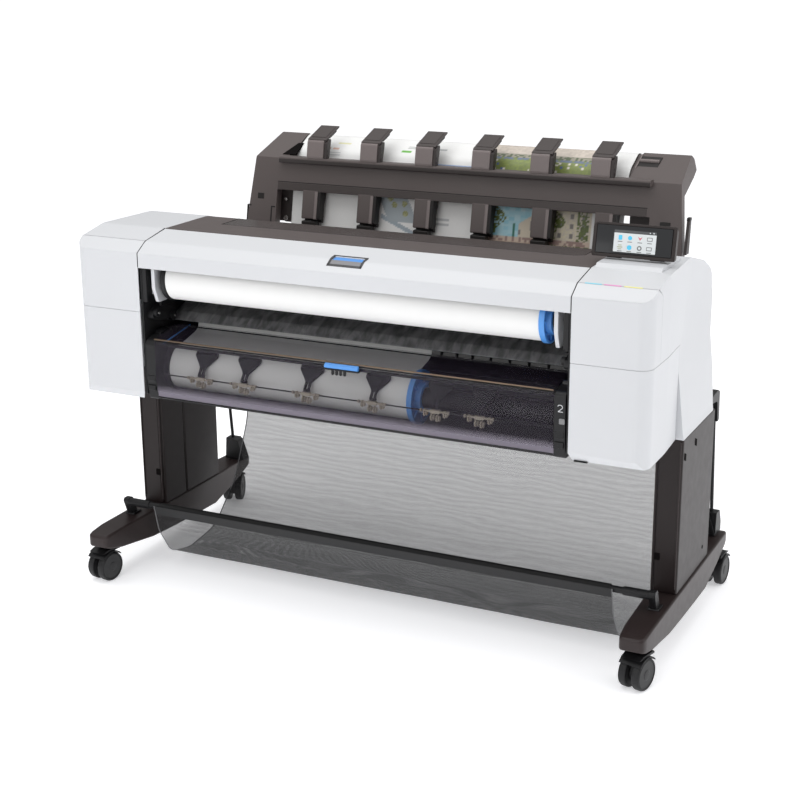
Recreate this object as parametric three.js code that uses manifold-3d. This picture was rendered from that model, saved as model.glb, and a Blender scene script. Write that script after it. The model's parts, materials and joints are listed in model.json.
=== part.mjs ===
// Large format roll plotter on a wheeled stand, with two paper rolls, a stacker
// on top and a catch basket below. Millimetres, +Z up, front towards -Y.
// The origin is on the floor, under the middle of the machine.
import * as THREE from 'three';
import { mergeVertices } from 'three/addons/utils/BufferGeometryUtils.js';
import Module from 'manifold-3d';

const wasm = await Module();
wasm.setup();

// ---- driving dimensions ----------------------------------------------------
const GAP = 0.5;              // clearance between touching pieces
const OUTER = { left: 713, right: 706 };   // outer side of the two end towers at their front
const TOWER_INNER = 534;      // inner side of the towers, where the paper bay starts
const FRONT = -378;           // front plane of the towers
const REAR = 150;             // rear plane of the towers
const BODY_BOTTOM = 504;
const SEAM = 718;             // joint between ink door and lower cover
const CREASE_LOW = [FRONT, 859];
const CREASE_HIGH = [-343, 881];
const DECK_FRONT = [-259, 897];
// Top and rear profile of the towers behind the deck: y, z, corner radius.
const REAR_PROFILE = [[-70, 896, 80], [45, 867, 80], [112, 834, 40], [130, 765, 60], [REAR, 620, 80]];
const SILL = { depth: 10, height: 18 };   // bevel along the bottom edges of the towers
const WALL = 3;               // plastic shell thickness
const CORNER = 32;            // plan radius of the outer front corner
const TAPER = 11;             // how much the outer side comes in towards the rear
const SKIRT = 719;            // foot of the flared skirt over the leg

const LEG_INNER = 655;
const LEG_OUTER = 719;
const LEG_FRONT = -145;
const LEG_REAR = 120;
const FOOT_TOP = 137;
const FOOT_TIP = -392;
const FOOT_END = 302;
const FOOT_INNER = 653;
const FOOT_OUTER = 724;

const CASTER_X = 700;
const CASTER_FRONT_Y = -334;
const CASTER_REAR_Y = 258;
const CASTER_TRAIL = 18;
const WHEEL_RADIUS = 37.5;
const WHEEL_SIDES = 24;
// Height of the axle when a wheel stands on one of its flats.
const AXLE_HEIGHT = WHEEL_RADIUS * Math.cos(Math.PI / WHEEL_SIDES);
const STEM_TOP = 112;
const YOKE_TOP = 84;

const ROLL_1 = { y: -313, z: 793, radius: 50, from: -470, to: 458 };
const ROLL_2 = { y: -288, z: 572, radius: 54, from: -484, to: 144 };
const CORE = 25.4;            // bore radius of a paper core

const STACKER_FACE = [[209, 790], [216, 835], [247, 999]];   // front face, low to high
const FINGER_PITCH = 155;
const FINGER_PIVOT = [235.5, 1011];
const ROD_FRONT = [-249, 174];
const BASKET_HALF = 606;

// ---- materials --------------------------------------------------------------
const paint = (color, roughness, metalness = 0) =>
  new THREE.MeshStandardMaterial({ color, roughness, metalness });
const WHITE = paint(0xe9eaee, 0.45);
const BROWN = paint(0x57504f, 0.5);
const BLACK = paint(0x222224, 0.5);
const LEG_BROWN = paint(0x3d3635, 0.45, 0.3);
const BLUE = paint(0x4f93dd, 0.4);
const SMOKE = paint(0x6a6472, 0.15);
const PAPER = paint(0xf6f6f4, 0.8);
const STEEL = paint(0xa9abae, 0.35, 0.9);
const GREY = paint(0x77777a, 0.5);
const MESH = paint(0x6c6c6e, 0.9);
const GLASS = paint(0x101214, 0.1);

// ---- solids from three.js geometry ------------------------------------------
function fromArrays(position, index) {
  const geometry = new THREE.BufferGeometry();
  geometry.setAttribute('position', new THREE.BufferAttribute(new Float32Array(position), 3));
  geometry.setIndex(new THREE.BufferAttribute(new Uint32Array(index), 1));
  return geometry;
}

function solid(geometry) {
  geometry.deleteAttribute('normal');
  geometry.deleteAttribute('uv');
  const merged = mergeVertices(geometry, 1e-4);
  return new wasm.Manifold(new wasm.Mesh({
    numProp: 3,
    vertProperties: new Float32Array(merged.attributes.position.array),
    triVerts: new Uint32Array(merged.index.array),
  }));
}

function box(x0, x1, y0, y1, z0, z1) {
  const geometry = new THREE.BoxGeometry(x1 - x0, y1 - y0, z1 - z0);
  geometry.translate((x0 + x1) / 2, (y0 + y1) / 2, (z0 + z1) / 2);
  return solid(geometry);
}

// Outline with round corners: each point is [a, b, radius].
function outline(points, steps = 4) {
  const path = [];
  points.forEach(([a, b, radius = 0], i) => {
    const here = new THREE.Vector2(a, b);
    if (!radius) {
      path.push(here);
      return;
    }
    const before = points[(i + points.length - 1) % points.length];
    const after = points[(i + 1) % points.length];
    const u = new THREE.Vector2(before[0], before[1]).sub(here);
    const v = new THREE.Vector2(after[0], after[1]).sub(here);
    const half = Math.acos(u.dot(v) / (u.length() * v.length())) / 2;
    u.normalize();
    v.normalize();
    const middle = u.clone().add(v).normalize();
    const centre = here.clone().addScaledVector(middle, radius / Math.sin(half));
    const start = here.clone().addScaledVector(u, radius / Math.tan(half));
    const end = here.clone().addScaledVector(v, radius / Math.tan(half));
    const from = start.clone().sub(centre).angle();
    let sweep = end.clone().sub(centre).angle() - from;
    if (sweep > Math.PI) sweep -= 2 * Math.PI;
    if (sweep < -Math.PI) sweep += 2 * Math.PI;
    for (let k = 0; k <= steps; k += 1) {
      const t = from + (sweep * k) / steps;
      path.push(new THREE.Vector2(centre.x + radius * Math.cos(t), centre.y + radius * Math.sin(t)));
    }
  });
  return path;
}

function extruded(points, depth, steps) {
  const shape = new THREE.Shape(outline(points, steps));
  return new THREE.ExtrudeGeometry(shape, { depth, bevelEnabled: false });
}

const along = (a, b, c) => new THREE.Matrix4().makeBasis(
  new THREE.Vector3(...a), new THREE.Vector3(...b), new THREE.Vector3(...c));

// Prisms: the outline is drawn in YZ, XZ or XY and runs along the third axis.
function prismX(points, x0, x1, steps) {
  const geometry = extruded(points, x1 - x0, steps);
  geometry.applyMatrix4(along([0, 1, 0], [0, 0, 1], [1, 0, 0]));
  return solid(geometry.translate(x0, 0, 0));
}

function prismY(points, y0, y1, steps) {
  const geometry = extruded(points, y1 - y0, steps);
  geometry.applyMatrix4(along([1, 0, 0], [0, 0, 1], [0, -1, 0]));
  return solid(geometry.translate(0, y1, 0));
}

function prismZ(points, z0, z1, steps) {
  return solid(extruded(points, z1 - z0, steps).translate(0, 0, z0));
}

// A bar along X or an upright bar along Z, turned from [radius, distance] pairs.
function turnedX(profile, y, z, sides = 24) {
  const geometry = new THREE.LatheGeometry(
    profile.map(([r, d]) => new THREE.Vector2(r, d)), sides, Math.PI / sides);
  geometry.applyMatrix4(along([0, 1, 0], [1, 0, 0], [0, 0, -1]));
  return solid(geometry.translate(0, y, z));
}

function barX(x0, x1, y, z, radius, sides) {
  return turnedX([[0, x0], [radius, x0], [radius, x1], [0, x1]], y, z, sides);
}

function barZ(x, y, z0, z1, radius, sides = 20) {
  const geometry = new THREE.CylinderGeometry(radius, radius, z1 - z0, sides);
  geometry.rotateX(Math.PI / 2);
  return solid(geometry.translate(x, y, (z0 + z1) / 2));
}

const join = (...parts) => parts.reduce((sum, part) => sum.add(part));
const cut = (body, ...tools) => tools.reduce((rest, tool) => rest.subtract(tool), body);

// Mirror image in the plane x = 0, with its faces turned to point outwards again.
function mirrored(body) {
  const { vertProperties, triVerts } = body.getMesh();
  const position = vertProperties.map((value, i) => (i % 3 ? value : -value));
  const index = triVerts.map((_, i) => triVerts[i % 3 ? (i % 3 === 1 ? i + 1 : i - 1) : i]);
  return solid(fromArrays(position, index));
}

const onSide = (side, body) => (side === 'left' ? mirrored(body) : body);

// A strip of constant thickness that follows a line in YZ, thickened downwards
// or backwards (to the right hand of the direction of travel).
function strip(line, thickness) {
  const inner = line.map((point, i) => {
    const a = line[Math.max(i - 1, 0)];
    const b = line[Math.min(i + 1, line.length - 1)];
    const normals = [[a, point], [point, b]].filter(([p, q]) => p !== q).map(([p, q]) => {
      const length = Math.hypot(q[0] - p[0], q[1] - p[1]);
      return [(q[1] - p[1]) / length, -(q[0] - p[0]) / length];
    });
    const sum = normals.reduce((s, n) => [s[0] + n[0], s[1] + n[1]], [0, 0]);
    const scale = thickness * normals.length / (sum[0] ** 2 + sum[1] ** 2);
    const radius = point[2] ? Math.max(point[2] - thickness, 1) : 0;
    return [point[0] + sum[0] * scale, point[1] + sum[1] * scale, radius];
  });
  return [...line, ...inner.reverse()];
}

const group = new THREE.Group();

function place(name, body, material, parent = group) {
  const { vertProperties, triVerts } = body.getMesh();
  const geometry = fromArrays(vertProperties, triVerts);
  geometry.computeVertexNormals();
  const mesh = new THREE.Mesh(geometry, material);
  mesh.name = name;
  parent.add(mesh);
  return mesh;
}

// ---- end towers: upper shell, lower cover and ink door ------------------------
function towerBody(inset, outer) {
  const side = prismX([
    [FRONT + SILL.depth + inset, BODY_BOTTOM - inset],
    [FRONT + inset, BODY_BOTTOM + SILL.height, 12],
    [FRONT + inset, CREASE_LOW[1] - inset * 0.5, 5],
    [CREASE_HIGH[0] + inset * 0.5, CREASE_HIGH[1] - inset, 20],
    [DECK_FRONT[0], DECK_FRONT[1] - inset, 60],
    ...REAR_PROFILE.map(([y, z, radius]) => [y - inset * 0.7, z - inset * 0.7, radius]),
    [REAR - inset * 0.7, BODY_BOTTOM - inset],
  ], TOWER_INNER - inset, outer + 5);
  const plan = prismZ([
    [TOWER_INNER - inset, FRONT + inset, 0],
    [outer - inset, FRONT + inset, CORNER - inset],
    [outer - inset, -250, 200],
    [outer - TAPER - inset, -60, 200],
    [outer - TAPER - inset, REAR - inset, 25 - inset],
    [TOWER_INNER - inset, REAR - inset, 0],
  ], BODY_BOTTOM - 10, 920, 6);
  return side.intersect(plan);
}

// Skirt behind the lower cover that flares out over the top of the leg.
function skirt(outer) {
  const inside = outer - TAPER - 2;
  const flare = prismY([
    [inside, SEAM + 2], [SKIRT - 3, BODY_BOTTOM + 14, 4], [SKIRT, BODY_BOTTOM], [inside, BODY_BOTTOM],
  ], LEG_FRONT, LEG_REAR);
  const plan = prismZ([
    [TOWER_INNER, LEG_FRONT], [SKIRT + 5, LEG_FRONT], [SKIRT + 5, LEG_REAR - 30], [SKIRT - 12, LEG_REAR],
    [TOWER_INNER, LEG_REAR],
  ], BODY_BOTTOM - 10, 920);
  return flare.intersect(plan);
}

const DOOR_SIDE = -309;       // rear edge of the ink door on the tower's side

function doorRegion(grow) {
  return prismX([
    [FRONT - 20, SEAM - grow + GAP], [DOOR_SIDE + grow, SEAM - grow + GAP],
    [DOOR_SIDE + grow, 862], [CREASE_HIGH[0] + grow, CREASE_HIGH[1] + 2],
    [CREASE_HIGH[0] + grow, 920], [FRONT - 20, 920],
  ], 500, 730);
}

function tower(side) {
  const outer = OUTER[side];
  const shell = cut(towerBody(0, outer), towerBody(WALL, outer));
  const lowerRegion = box(500, 730, FRONT - 20, LEG_FRONT - GAP, 480, SEAM);
  const lowerGrown = box(500, 730, FRONT - 20, LEG_FRONT, 480, SEAM + GAP);
  const innerBevel = prismY([
    [TOWER_INNER - 5, BODY_BOTTOM + SILL.height + 10], [TOWER_INNER - 5, BODY_BOTTOM - 5],
    [TOWER_INNER + SILL.depth, BODY_BOTTOM - 5],
  ], FRONT - 5, FRONT + 30);
  const parts = {
    door: shell.intersect(doorRegion(0)),
    lower: cut(shell.intersect(lowerRegion), innerBevel),
    upper: join(cut(shell, lowerGrown, doorRegion(GAP)), skirt(outer)),
  };
  if (side === 'right') {
    parts.upper = join(parts.upper, plinth());
    parts.upper = cut(parts.upper, box(...inletHole()));
  }
  place(`${side}_upper_shell`, onSide(side, parts.upper), WHITE);
  place(`${side}_lower_cover`, onSide(side, parts.lower), WHITE);
  place(`${side}_ink_door`, onSide(side, parts.door), WHITE);
}

// Raised step on the right tower that carries the control panel.
function plinth() {
  return prismX([
    [-256, 894], [-244, 905, 3], [-120, 905, 6], [-104, 894],
  ], 540, 684);
}

// ---- mains inlet and switch in the rear of the right tower --------------------
const INLET = { x: 610, z: 560, halfWidth: 15, halfHeight: 32 };

function inletHole() {
  const { x, z, halfWidth, halfHeight } = INLET;
  return [x - halfWidth - GAP, x + halfWidth + GAP, REAR - 10, REAR + 5,
    z - halfHeight - GAP, z + halfHeight + GAP];
}

function inletAndSwitch() {
  const { x, z, halfWidth, halfHeight } = INLET;
  const block = box(x - halfWidth, x + halfWidth, REAR - 30, REAR, z - halfHeight, z + halfHeight);
  const socket = box(x - 11, x + 11, REAR - 20, REAR + 1, z - 26, z - 2);
  const window = box(x - 9, x + 9, REAR - 14, REAR + 1, z + 6, z + 26);
  const pins = [-6, 0, 6].map((dx) => box(x + dx - 1, x + dx + 1, REAR - 22, REAR - 6,
    z - (dx ? 14 : 20), z - (dx ? 10 : 16)));
  place('power_inlet', join(cut(block, socket, window), ...pins), BLACK);
  const rocker = prismX([
    [REAR - 11, z + 8], [REAR - 1, z + 7.5, 1], [REAR - 3, z + 16, 2],
    [REAR + 1.5, z + 24.5, 1], [REAR - 11, z + 24],
  ], x - 8, x + 8);
  place('power_switch', rocker, BLACK);
}

// ---- frame inside the machine --------------------------------------------------
const PLATE_X = 540;
const RAIL_SECTION = [-62, -32, 800, 824];   // y from, y to, z from, z to

function chassis() {
  const base = box(-672, 672, -110, 140, BODY_BOTTOM + GAP, BODY_BOTTOM + 4);
  const back = box(-560, 560, 136, 139, BODY_BOTTOM + 3, 640);
  const side = box(PLATE_X, PLATE_X + 3, -110, 96, BODY_BOTTOM + 3, 828);
  place('chassis', join(base, back, side, mirrored(side)), STEEL);
}

function sideLiner(side) {
  const liner = prismX([
    [FRONT + 6, 516, 3], [FRONT + 6, 854, 3], [-338, 876, 10], [-262, 890],
    [-118, 890], [-118, 870], [70, 838], [70, 516],
  ], TOWER_INNER - 6, TOWER_INNER - GAP, 3);
  const body = cut(liner, box(500, 560, ...RAIL_SECTION.map((v, i) => v + (i % 2 ? 2 : -2))));
  place(`${side}_side_liner`, onSide(side, body), BLACK);
}

function carriageParts() {
  place('platen', prismX([
    [-190, 768, 4], [-190, 776, 3], [-60, 776], [-60, 760], [-70, 760], [-70, 768],
  ], -520, 520), BLACK);
  place('carriage_rail', box(-PLATE_X + GAP, PLATE_X - GAP, ...RAIL_SECTION), STEEL);
  const carriage = cut(
    prismX([[-150, 782, 6], [-150, 850, 12], [-20, 850, 8], [-20, 792, 4], [-64, 792], [-76, 782]],
      -62, 62),
    box(-80, 80, -63, -31, 799, 825));
  place('print_carriage', carriage, GREY);
}

function inkCartridges(side) {
  const bay = box(550, 680, -292, -150, 724, 730);
  const cells = [0, 1, 2].map((i) => prismX([
    [-296, 729, 3], [-296, 838, 8], [-160, 838, 3], [-160, 729],
  ], 552 + i * 43, 552 + i * 43 + 38));
  const body = join(bay, ...cells);
  place(`${side}_ink_cartridges`, onSide(side, body), BLACK);
}

// ---- covers between the towers ---------------------------------------------------
const COVER_HALF = TOWER_INNER - 1.5;
const LATCH = { half: 38, front: -358, rear: -326 };

const COVER_LINE = [[FRONT, 824], [...CREASE_LOW, 5], [...CREASE_HIGH, 25], [DECK_FRONT[0] - GAP, 896]];

function rollCover() {
  const skin = prismX(strip(COVER_LINE, 4), -COVER_HALF, COVER_HALF);
  const pocket = box(-LATCH.half, LATCH.half, LATCH.front, LATCH.rear, 850, 900);
  place('roll_cover', cut(skin, pocket), WHITE);
}

function coverLatch() {
  const paddle = prismX(strip([[LATCH.front + GAP, 871], [-344, 879, 4], [LATCH.rear - GAP, 882.5]], 5),
    -LATCH.half + GAP, LATCH.half - GAP);
  place('cover_latch', paddle, BLUE);
}

const WINDOW = { left: -438, right: 478, front: -155, rear: -74, top: 895.8 };

// Outline of the window, grown on every side by the gap round it.
const windowOutline = (grow) => [
  [WINDOW.left - grow, WINDOW.front - grow], [WINDOW.right + grow, WINDOW.front - grow, 18 + grow],
  [WINDOW.right + grow, WINDOW.rear + grow, 4], [WINDOW.left - grow, WINDOW.rear + grow, 4],
];

function topWindow() {
  place('top_window', prismZ(windowOutline(0), WINDOW.top - 4, WINDOW.top), BROWN);
}

// Deck round the window, running down into the rear cover.
function rearCover() {
  const profile = REAR_PROFILE.map(([y, z, radius]) => [y - 2, z - 0.5, radius]);
  const skin = prismX(strip([[-258, 897], ...profile, [REAR - 2, 512]], 3), -TOWER_INNER + 1,
    TOWER_INNER - 1, 5);
  place('rear_cover', cut(skin, prismZ(windowOutline(2.5), 880, 910)), BROWN);
}

// ---- paper rolls -------------------------------------------------------------------
// Spindle: thin journals at the ends, a thick middle and one fixed black hub.
function spindle(roll, journal) {
  const { y, z, from, hub } = roll;
  const thick = CORE - 1.5;
  const rim = hub - 6;
  return turnedX([
    [0, -journal], [8, -journal], [8, from - 14], [rim, from - 14], [rim, from - GAP],
    [thick, from - GAP], [thick, journal - 40], [8, journal - 34], [8, journal], [0, journal],
  ], y, z);
}

function paperTube(roll) {
  const { y, z, from, to, radius } = roll;
  return turnedX([[CORE, from], [radius, from], [radius, to], [CORE, to], [CORE, from]], y, z, 36);
}

// Blue loose hub: a broad flange with a shorter boss behind it.
function looseHub(roll) {
  const { y, z, to, hub, boss } = roll;
  const bore = CORE - 1;
  return turnedX([
    [bore, to + GAP], [hub, to + GAP], [hub, to + 9], [hub - 16, to + 14],
    [hub - 20, to + boss], [bore, to + boss], [bore, to + GAP],
  ], y, z, 32);
}

function paperRoll(number, roll, journal) {
  place(`roll_${number}_spindle`, spindle(roll, journal), BLACK);
  place(`roll_${number}_paper`, paperTube(roll), PAPER);
  place(`roll_${number}_hub`, looseHub(roll), BLUE);
}

// White bracket that carries one end of the upper spindle: a thin plate with an open
// slot, and a boss behind it that fills the room to the liner.
function rollBracket(side) {
  const { y, z } = ROLL_1;
  const plate = prismX([
    [y - 56, z + 32, 4], [y - 56, z - 16, 12], [y - 42, z - 52, 4], [y + 60, z - 52, 8],
    [y + 60, z + 32, 6],
  ], TOWER_INNER - 40, TOWER_INNER - 31);
  const boss = box(TOWER_INNER - 32, TOWER_INNER - 6 - GAP, y - 22, y + 50, z - 40, z + 20);
  const slot = prismX([
    [y - 10, z + 60], [y - 10, z - 10, 9.5], [y + 10, z - 10, 9.5], [y + 10, z + 60],
  ], TOWER_INNER - 60, TOWER_INNER - 12);
  const body = cut(join(plate, boss), slot);
  place(`${side}_roll_bracket`, onSide(side, body), WHITE);
}

function rollGuide() {
  place('roll_guide', prismX(strip([
    [-258, 676], [-236, 692, 12], [-112, 738],
  ], 3), -TOWER_INNER + 8, TOWER_INNER - 8), GREY);
}

// ---- lower drawer ----------------------------------------------------------------------
const DRAWER_HALF = 526;
const BLOCK_INNER = 500;

function drawerTray() {
  const floor = box(-DRAWER_HALF + 2, DRAWER_HALF - 2, -362, -152, 505, 508);
  const back = box(-DRAWER_HALF + 2, DRAWER_HALF - 2, -156, -152, 505, 560);
  const end = prismX([
    [FRONT + 10, 504.5, 8], [FRONT + 3, 560, 30], [FRONT + 3, 650, 16], [-300, 666, 20],
    [-200, 655, 20], [-200, 504.5],
  ], BLOCK_INNER, DRAWER_HALF);
  const { y, z } = ROLL_2;
  const journalSlot = prismX([[y - 9, z + 150], [y - 9, z - 9, 8.5], [y + 9, z - 9, 8.5], [y + 9, z + 150]],
    BLOCK_INNER - 10, DRAWER_HALF - 6);
  const block = cut(end, journalSlot);
  const crossRod = barX(-BLOCK_INNER - 4, BLOCK_INNER + 4, -362, 640, 4, 12);
  place('drawer_tray', join(floor, back, block, mirrored(block), crossRod), BLACK);
}

function drawerCover() {
  place('drawer_cover', prismX(strip([
    [-368, 510], [FRONT + 1, 560, 60], [FRONT + 3, 655, 12], [-288, 672],
  ], 2.6), -BLOCK_INNER + GAP, BLOCK_INNER - GAP, 5), SMOKE);
}

function drawerHandle() {
  place('drawer_handle', prismX([
    [FRONT - 9, 643, 3], [FRONT - 9, 650, 4], [FRONT, 655.5, 2], [FRONT, 643],
  ], -40, 44), BLUE);
}

// Thin rod with six arms, each with a pair of star wheels.
const PINCH_X = [-385, -268, -102, 66, 220, 325];

function pinchBar() {
  const y = -360;
  const z = 566;
  const parts = PINCH_X.flatMap((x) => [
    prismX([[y - 6, z - 6], [y - 6, z + 30], [y, z + 62], [y + 8, z + 62], [y + 8, z - 6]], x - 7, x + 7),
    barX(x - 20, x + 20, y, z, 9, 12),
  ]);
  place('pinch_bar', join(barX(-496, 496, y, z, 3, 8), ...parts), GREY);
}

// ---- stacker ---------------------------------------------------------------------------------
const WING_INNER = { left: -484, right: 446 };
const SHEET = { left: -478, right: 436 };
const GUIDE_X = [-407, -245, -84, 74, 234, 396];

function stackerFrame() {
  const sides = prismY([
    [-600, 780], [-578, 999], [-562, 1060], [562, 1060], [578, 999], [600, 780],
  ], 150, 400);
  const opening = box(-508, 508, 180, 300, 822, 917);
  const panel = cut(prismX(strip(STACKER_FACE, 26), -600, 600), opening);
  const wings = cut(
    prismX([[247, 999], [371, 1050, 10], [388, 1040, 8], [388, 1012], [262, 965]], -600, 600),
    box(WING_INNER.left, WING_INNER.right, 274, 400, 900, 1100),
    box(WING_INNER.left, WING_INNER.right, 240, 400, 1000, 1100));
  const lip = prismX([[229, 989, 3], [229, 1005, 4], [255, 1005], [255, 989]], -500, 508, 2);
  const arm = prismX([[124, 792], [119, 812], [225, 812], [225, 792]], 520, 585);
  const guides = GUIDE_X.flatMap((x) => [
    prismX([[215, 848, 3], [229, 920], [246, 920], [236, 846, 5]], x - 22, x + 22, 2),
    prismX([[212, 815], [214, 841, 3], [234, 841, 3], [232, 815]], x - 19, x + 19, 2),
  ]);
  const whole = join(panel.intersect(sides), wings.intersect(sides), lip, arm, mirrored(arm), ...guides);
  place('stacker_frame', whole, BROWN);
}

function stackerTray() {
  place('stacker_tray', prismX(strip([
    [291, 1000], [302, 1014, 20], [368, 1047, 16], [384, 1036, 8], [386, 990],
  ], 3), WING_INNER.left + GAP, WING_INNER.right - GAP), BROWN);
}

function printedSheet() {
  place('printed_sheet', prismX(strip([
    [243, 800], [278, 985, 60], [298, 1018, 40], [368, 1053, 22], [390, 1040, 12], [391, 950],
  ], 0.8), SHEET.left, SHEET.right, 6), PAPER);
}

function fingers() {
  for (let i = 0; i < 6; i += 1) {
    const x = (i - 2.5) * FINGER_PITCH;
    const [y, z] = FINGER_PIVOT;
    const arm = prismX(strip([
      [y - 4.5, z], [y + 1, z + 41, 8], [y + 78, z + 68],
    ], 5), x - 29, x + 29);
    place(`stacker_finger_${i + 1}`, join(arm, barX(x - 29, x + 29, y, z, 5, 12)), BROWN);
  }
}

// ---- control panel --------------------------------------------------------------------------------
const PANEL = { left: 514, right: 696, low: [-205, 911], high: [-190, 982], pivot: [-192, 911] };

function controlPanel() {
  const { left, right, low, high, pivot } = PANEL;
  const slab = prismX(strip([low, high], 14), left, right);
  const corners = prismY([
    [left, low[1] - 5, 10], [right, low[1] - 5, 10], [right, high[1], 12], [left, high[1], 12],
  ], -230, -150);
  const recess = prismX(strip([
    [low[0] + 0.8, low[1] + 7], [high[0] - 2, high[1] - 5],
  ], 2), left + 8, right - 8);
  const knuckles = [[545, 578], [640, 672]].map(([a, b]) => barX(a, b, ...pivot, 4.5, 12));
  place('control_panel', join(cut(slab.intersect(corners), recess), ...knuckles), BROWN);
  const glass = prismX(strip([
    [low[0] + 1.5, low[1] + 7.6], [high[0] - 1.6, high[1] - 5.6],
  ], 1.0), left + 8.6, right - 8.6);
  place('touch_screen', glass, GLASS);
}

// ---- stand ---------------------------------------------------------------------------------------------
function foot(side) {
  const profile = prismX([
    [FOOT_TIP, 98, 6], [FOOT_TIP, 132, 8], [-330, FOOT_TOP, 60], [FOOT_END, FOOT_TOP, 6],
    [FOOT_END, 107, 6], [93, 55, 60], [-80, 60, 60],
  ], 600, 760);
  const plan = prismZ([
    [FOOT_INNER, FOOT_END, 12], [FOOT_INNER, -240, 60], [FOOT_INNER + 9, FOOT_TIP, 14],
    [FOOT_OUTER, FOOT_TIP, 18], [FOOT_OUTER, FOOT_END, 12],
  ], 40, 150);
  const sockets = [CASTER_FRONT_Y, CASTER_REAR_Y].map((y) => barZ(CASTER_X, y, 40, STEM_TOP + 3, 6.2));
  const body = cut(profile.intersect(plan), ...sockets);
  place(`${side}_foot`, onSide(side, body), LEG_BROWN);
}

function leg(side) {
  const low = FOOT_TOP + GAP;
  const high = BODY_BOTTOM - GAP;
  const column = prismZ([
    [LEG_INNER, LEG_FRONT + 8, 2], [LEG_INNER + 9, LEG_FRONT + 8], [LEG_INNER + 9, LEG_FRONT, 2],
    [LEG_OUTER, LEG_FRONT, 5], [LEG_OUTER, LEG_REAR, 5], [LEG_INNER, LEG_REAR, 3],
    [LEG_INNER, -36], [LEG_INNER + 4, -38], [LEG_INNER + 4, -44], [LEG_INNER, -46],
  ], low, high, 2);
  const hollow = box(LEG_INNER + 12, LEG_OUTER - 3, LEG_FRONT + 11, LEG_REAR - 3, low - 1, high + 1);
  const body = cut(column, hollow);
  place(`${side}_leg`, onSide(side, body), LEG_BROWN);
}

function crossBrace() {
  place('cross_brace', prismX([
    [70, 400, 3], [110, 400, 3], [110, 404], [74, 404], [74, 456], [110, 456], [110, 460, 3],
    [70, 460, 3],
  ], -LEG_INNER + GAP, LEG_INNER - GAP, 2), LEG_BROWN);
}

// Twin-wheel caster. Its own frame has the stem on the Z axis and the trail towards -Y.
function caster(name, x, y, turn) {
  const frame = new THREE.Group();
  frame.position.set(x, y, 0);
  frame.rotation.z = THREE.MathUtils.degToRad(turn);
  const web = prismX([
    [-CASTER_TRAIL - 24, WHEEL_RADIUS, 18], [-CASTER_TRAIL - 6, YOKE_TOP - 4, 14], [12, YOKE_TOP - 4, 6],
    [12, WHEEL_RADIUS + 24, 8], [-CASTER_TRAIL + 20, WHEEL_RADIUS - 18, 14],
    [-CASTER_TRAIL - 14, WHEEL_RADIUS - 22, 14],
  ], -5.5, 5.5);
  const crown = prismX([
    [-CASTER_TRAIL - 30, 77.5], [-CASTER_TRAIL - 12, YOKE_TOP, 10], [14, YOKE_TOP, 4], [14, 77.5],
  ], -24, 24);
  const stem = barZ(0, 0, YOKE_TOP - 6, STEM_TOP, 5.5, 16);
  const bore = barX(-10, 10, -CASTER_TRAIL, AXLE_HEIGHT, 4.5, 16);
  place(`${name}_yoke`, cut(join(web, crown, stem), bore), BLACK, frame);
  const wheel = (a, b) => turnedX([
    [0, a], [WHEEL_RADIUS - 5, a], [WHEEL_RADIUS, a + 5], [WHEEL_RADIUS, b - 5],
    [WHEEL_RADIUS - 5, b], [0, b],
  ], -CASTER_TRAIL, AXLE_HEIGHT, WHEEL_SIDES);
  const axle = barX(-12, 12, -CASTER_TRAIL, AXLE_HEIGHT, 3.8, 16);
  place(`${name}_wheels`, join(wheel(-27, -7), wheel(7, 27), axle), BLACK, frame);
  group.add(frame);
}

// ---- catch basket --------------------------------------------------------------------------------
function basketRod() {
  const [y, z] = ROD_FRONT;
  const bracket = join(
    barX(628, 700, y, z, 10.5, 16),
    prismX([[y - 11, z + 4, 5], [y - 8, z + 11, 4], [y + 10, z + 11, 5], [y + 29, FOOT_TOP + GAP],
      [y + 5, FOOT_TOP + GAP]], 688, 703, 2),
    prismX([[y + 2, FOOT_TOP + GAP], [y + 6, FOOT_TOP + 5, 2], [y + 34, FOOT_TOP + 5, 2],
      [y + 38, FOOT_TOP + GAP]], 682, 709, 2),
  );
  place('basket_rod', join(barX(-640, 640, y, z, 8, 16), bracket, mirrored(bracket)), BLACK);
}

function basketRearFrame() {
  const post = turnedTilted(690, [258, 150], [222, 486], 4.5);
  const shoe = prismX([[236, FOOT_TOP + GAP], [242, 196, 3], [272, 196, 6], [288, 160, 4],
    [288, FOOT_TOP + GAP]], 674, 706, 2);
  const clip = prismX([[REAR + GAP, 500, 2], [REAR + GAP, 514, 3], [214, 520, 4], [232, 512, 4],
    [236, 440, 4], [222, 436, 4], [212, 492, 8]], 682, 700, 2);
  const side = join(post, shoe, clip);
  place('basket_rear_frame', join(side, mirrored(side), barX(-690, 690, 222, 486, 5, 12)), BLACK);
}

// Round rod in the plane x = const, from one [y, z] to another.
function turnedTilted(x, from, to, radius) {
  const length = Math.hypot(to[0] - from[0], to[1] - from[1]);
  const geometry = new THREE.CylinderGeometry(radius, radius, length, 12);
  geometry.rotateX(Math.atan2(to[1] - from[1], to[0] - from[0]));
  return solid(geometry.translate(x, (from[0] + to[0]) / 2, (from[1] + to[1]) / 2));
}

function catchBasket() {
  place('catch_basket', prismX(strip([
    [-262, 182], [-246, 110, 80], [-196, 34, 60], [-110, 16, 80], [10, 30, 120], [120, 130, 160],
    [196, 280, 200], [220, 478],
  ], 4), -BASKET_HALF, BASKET_HALF, 4), MESH);
}

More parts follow.
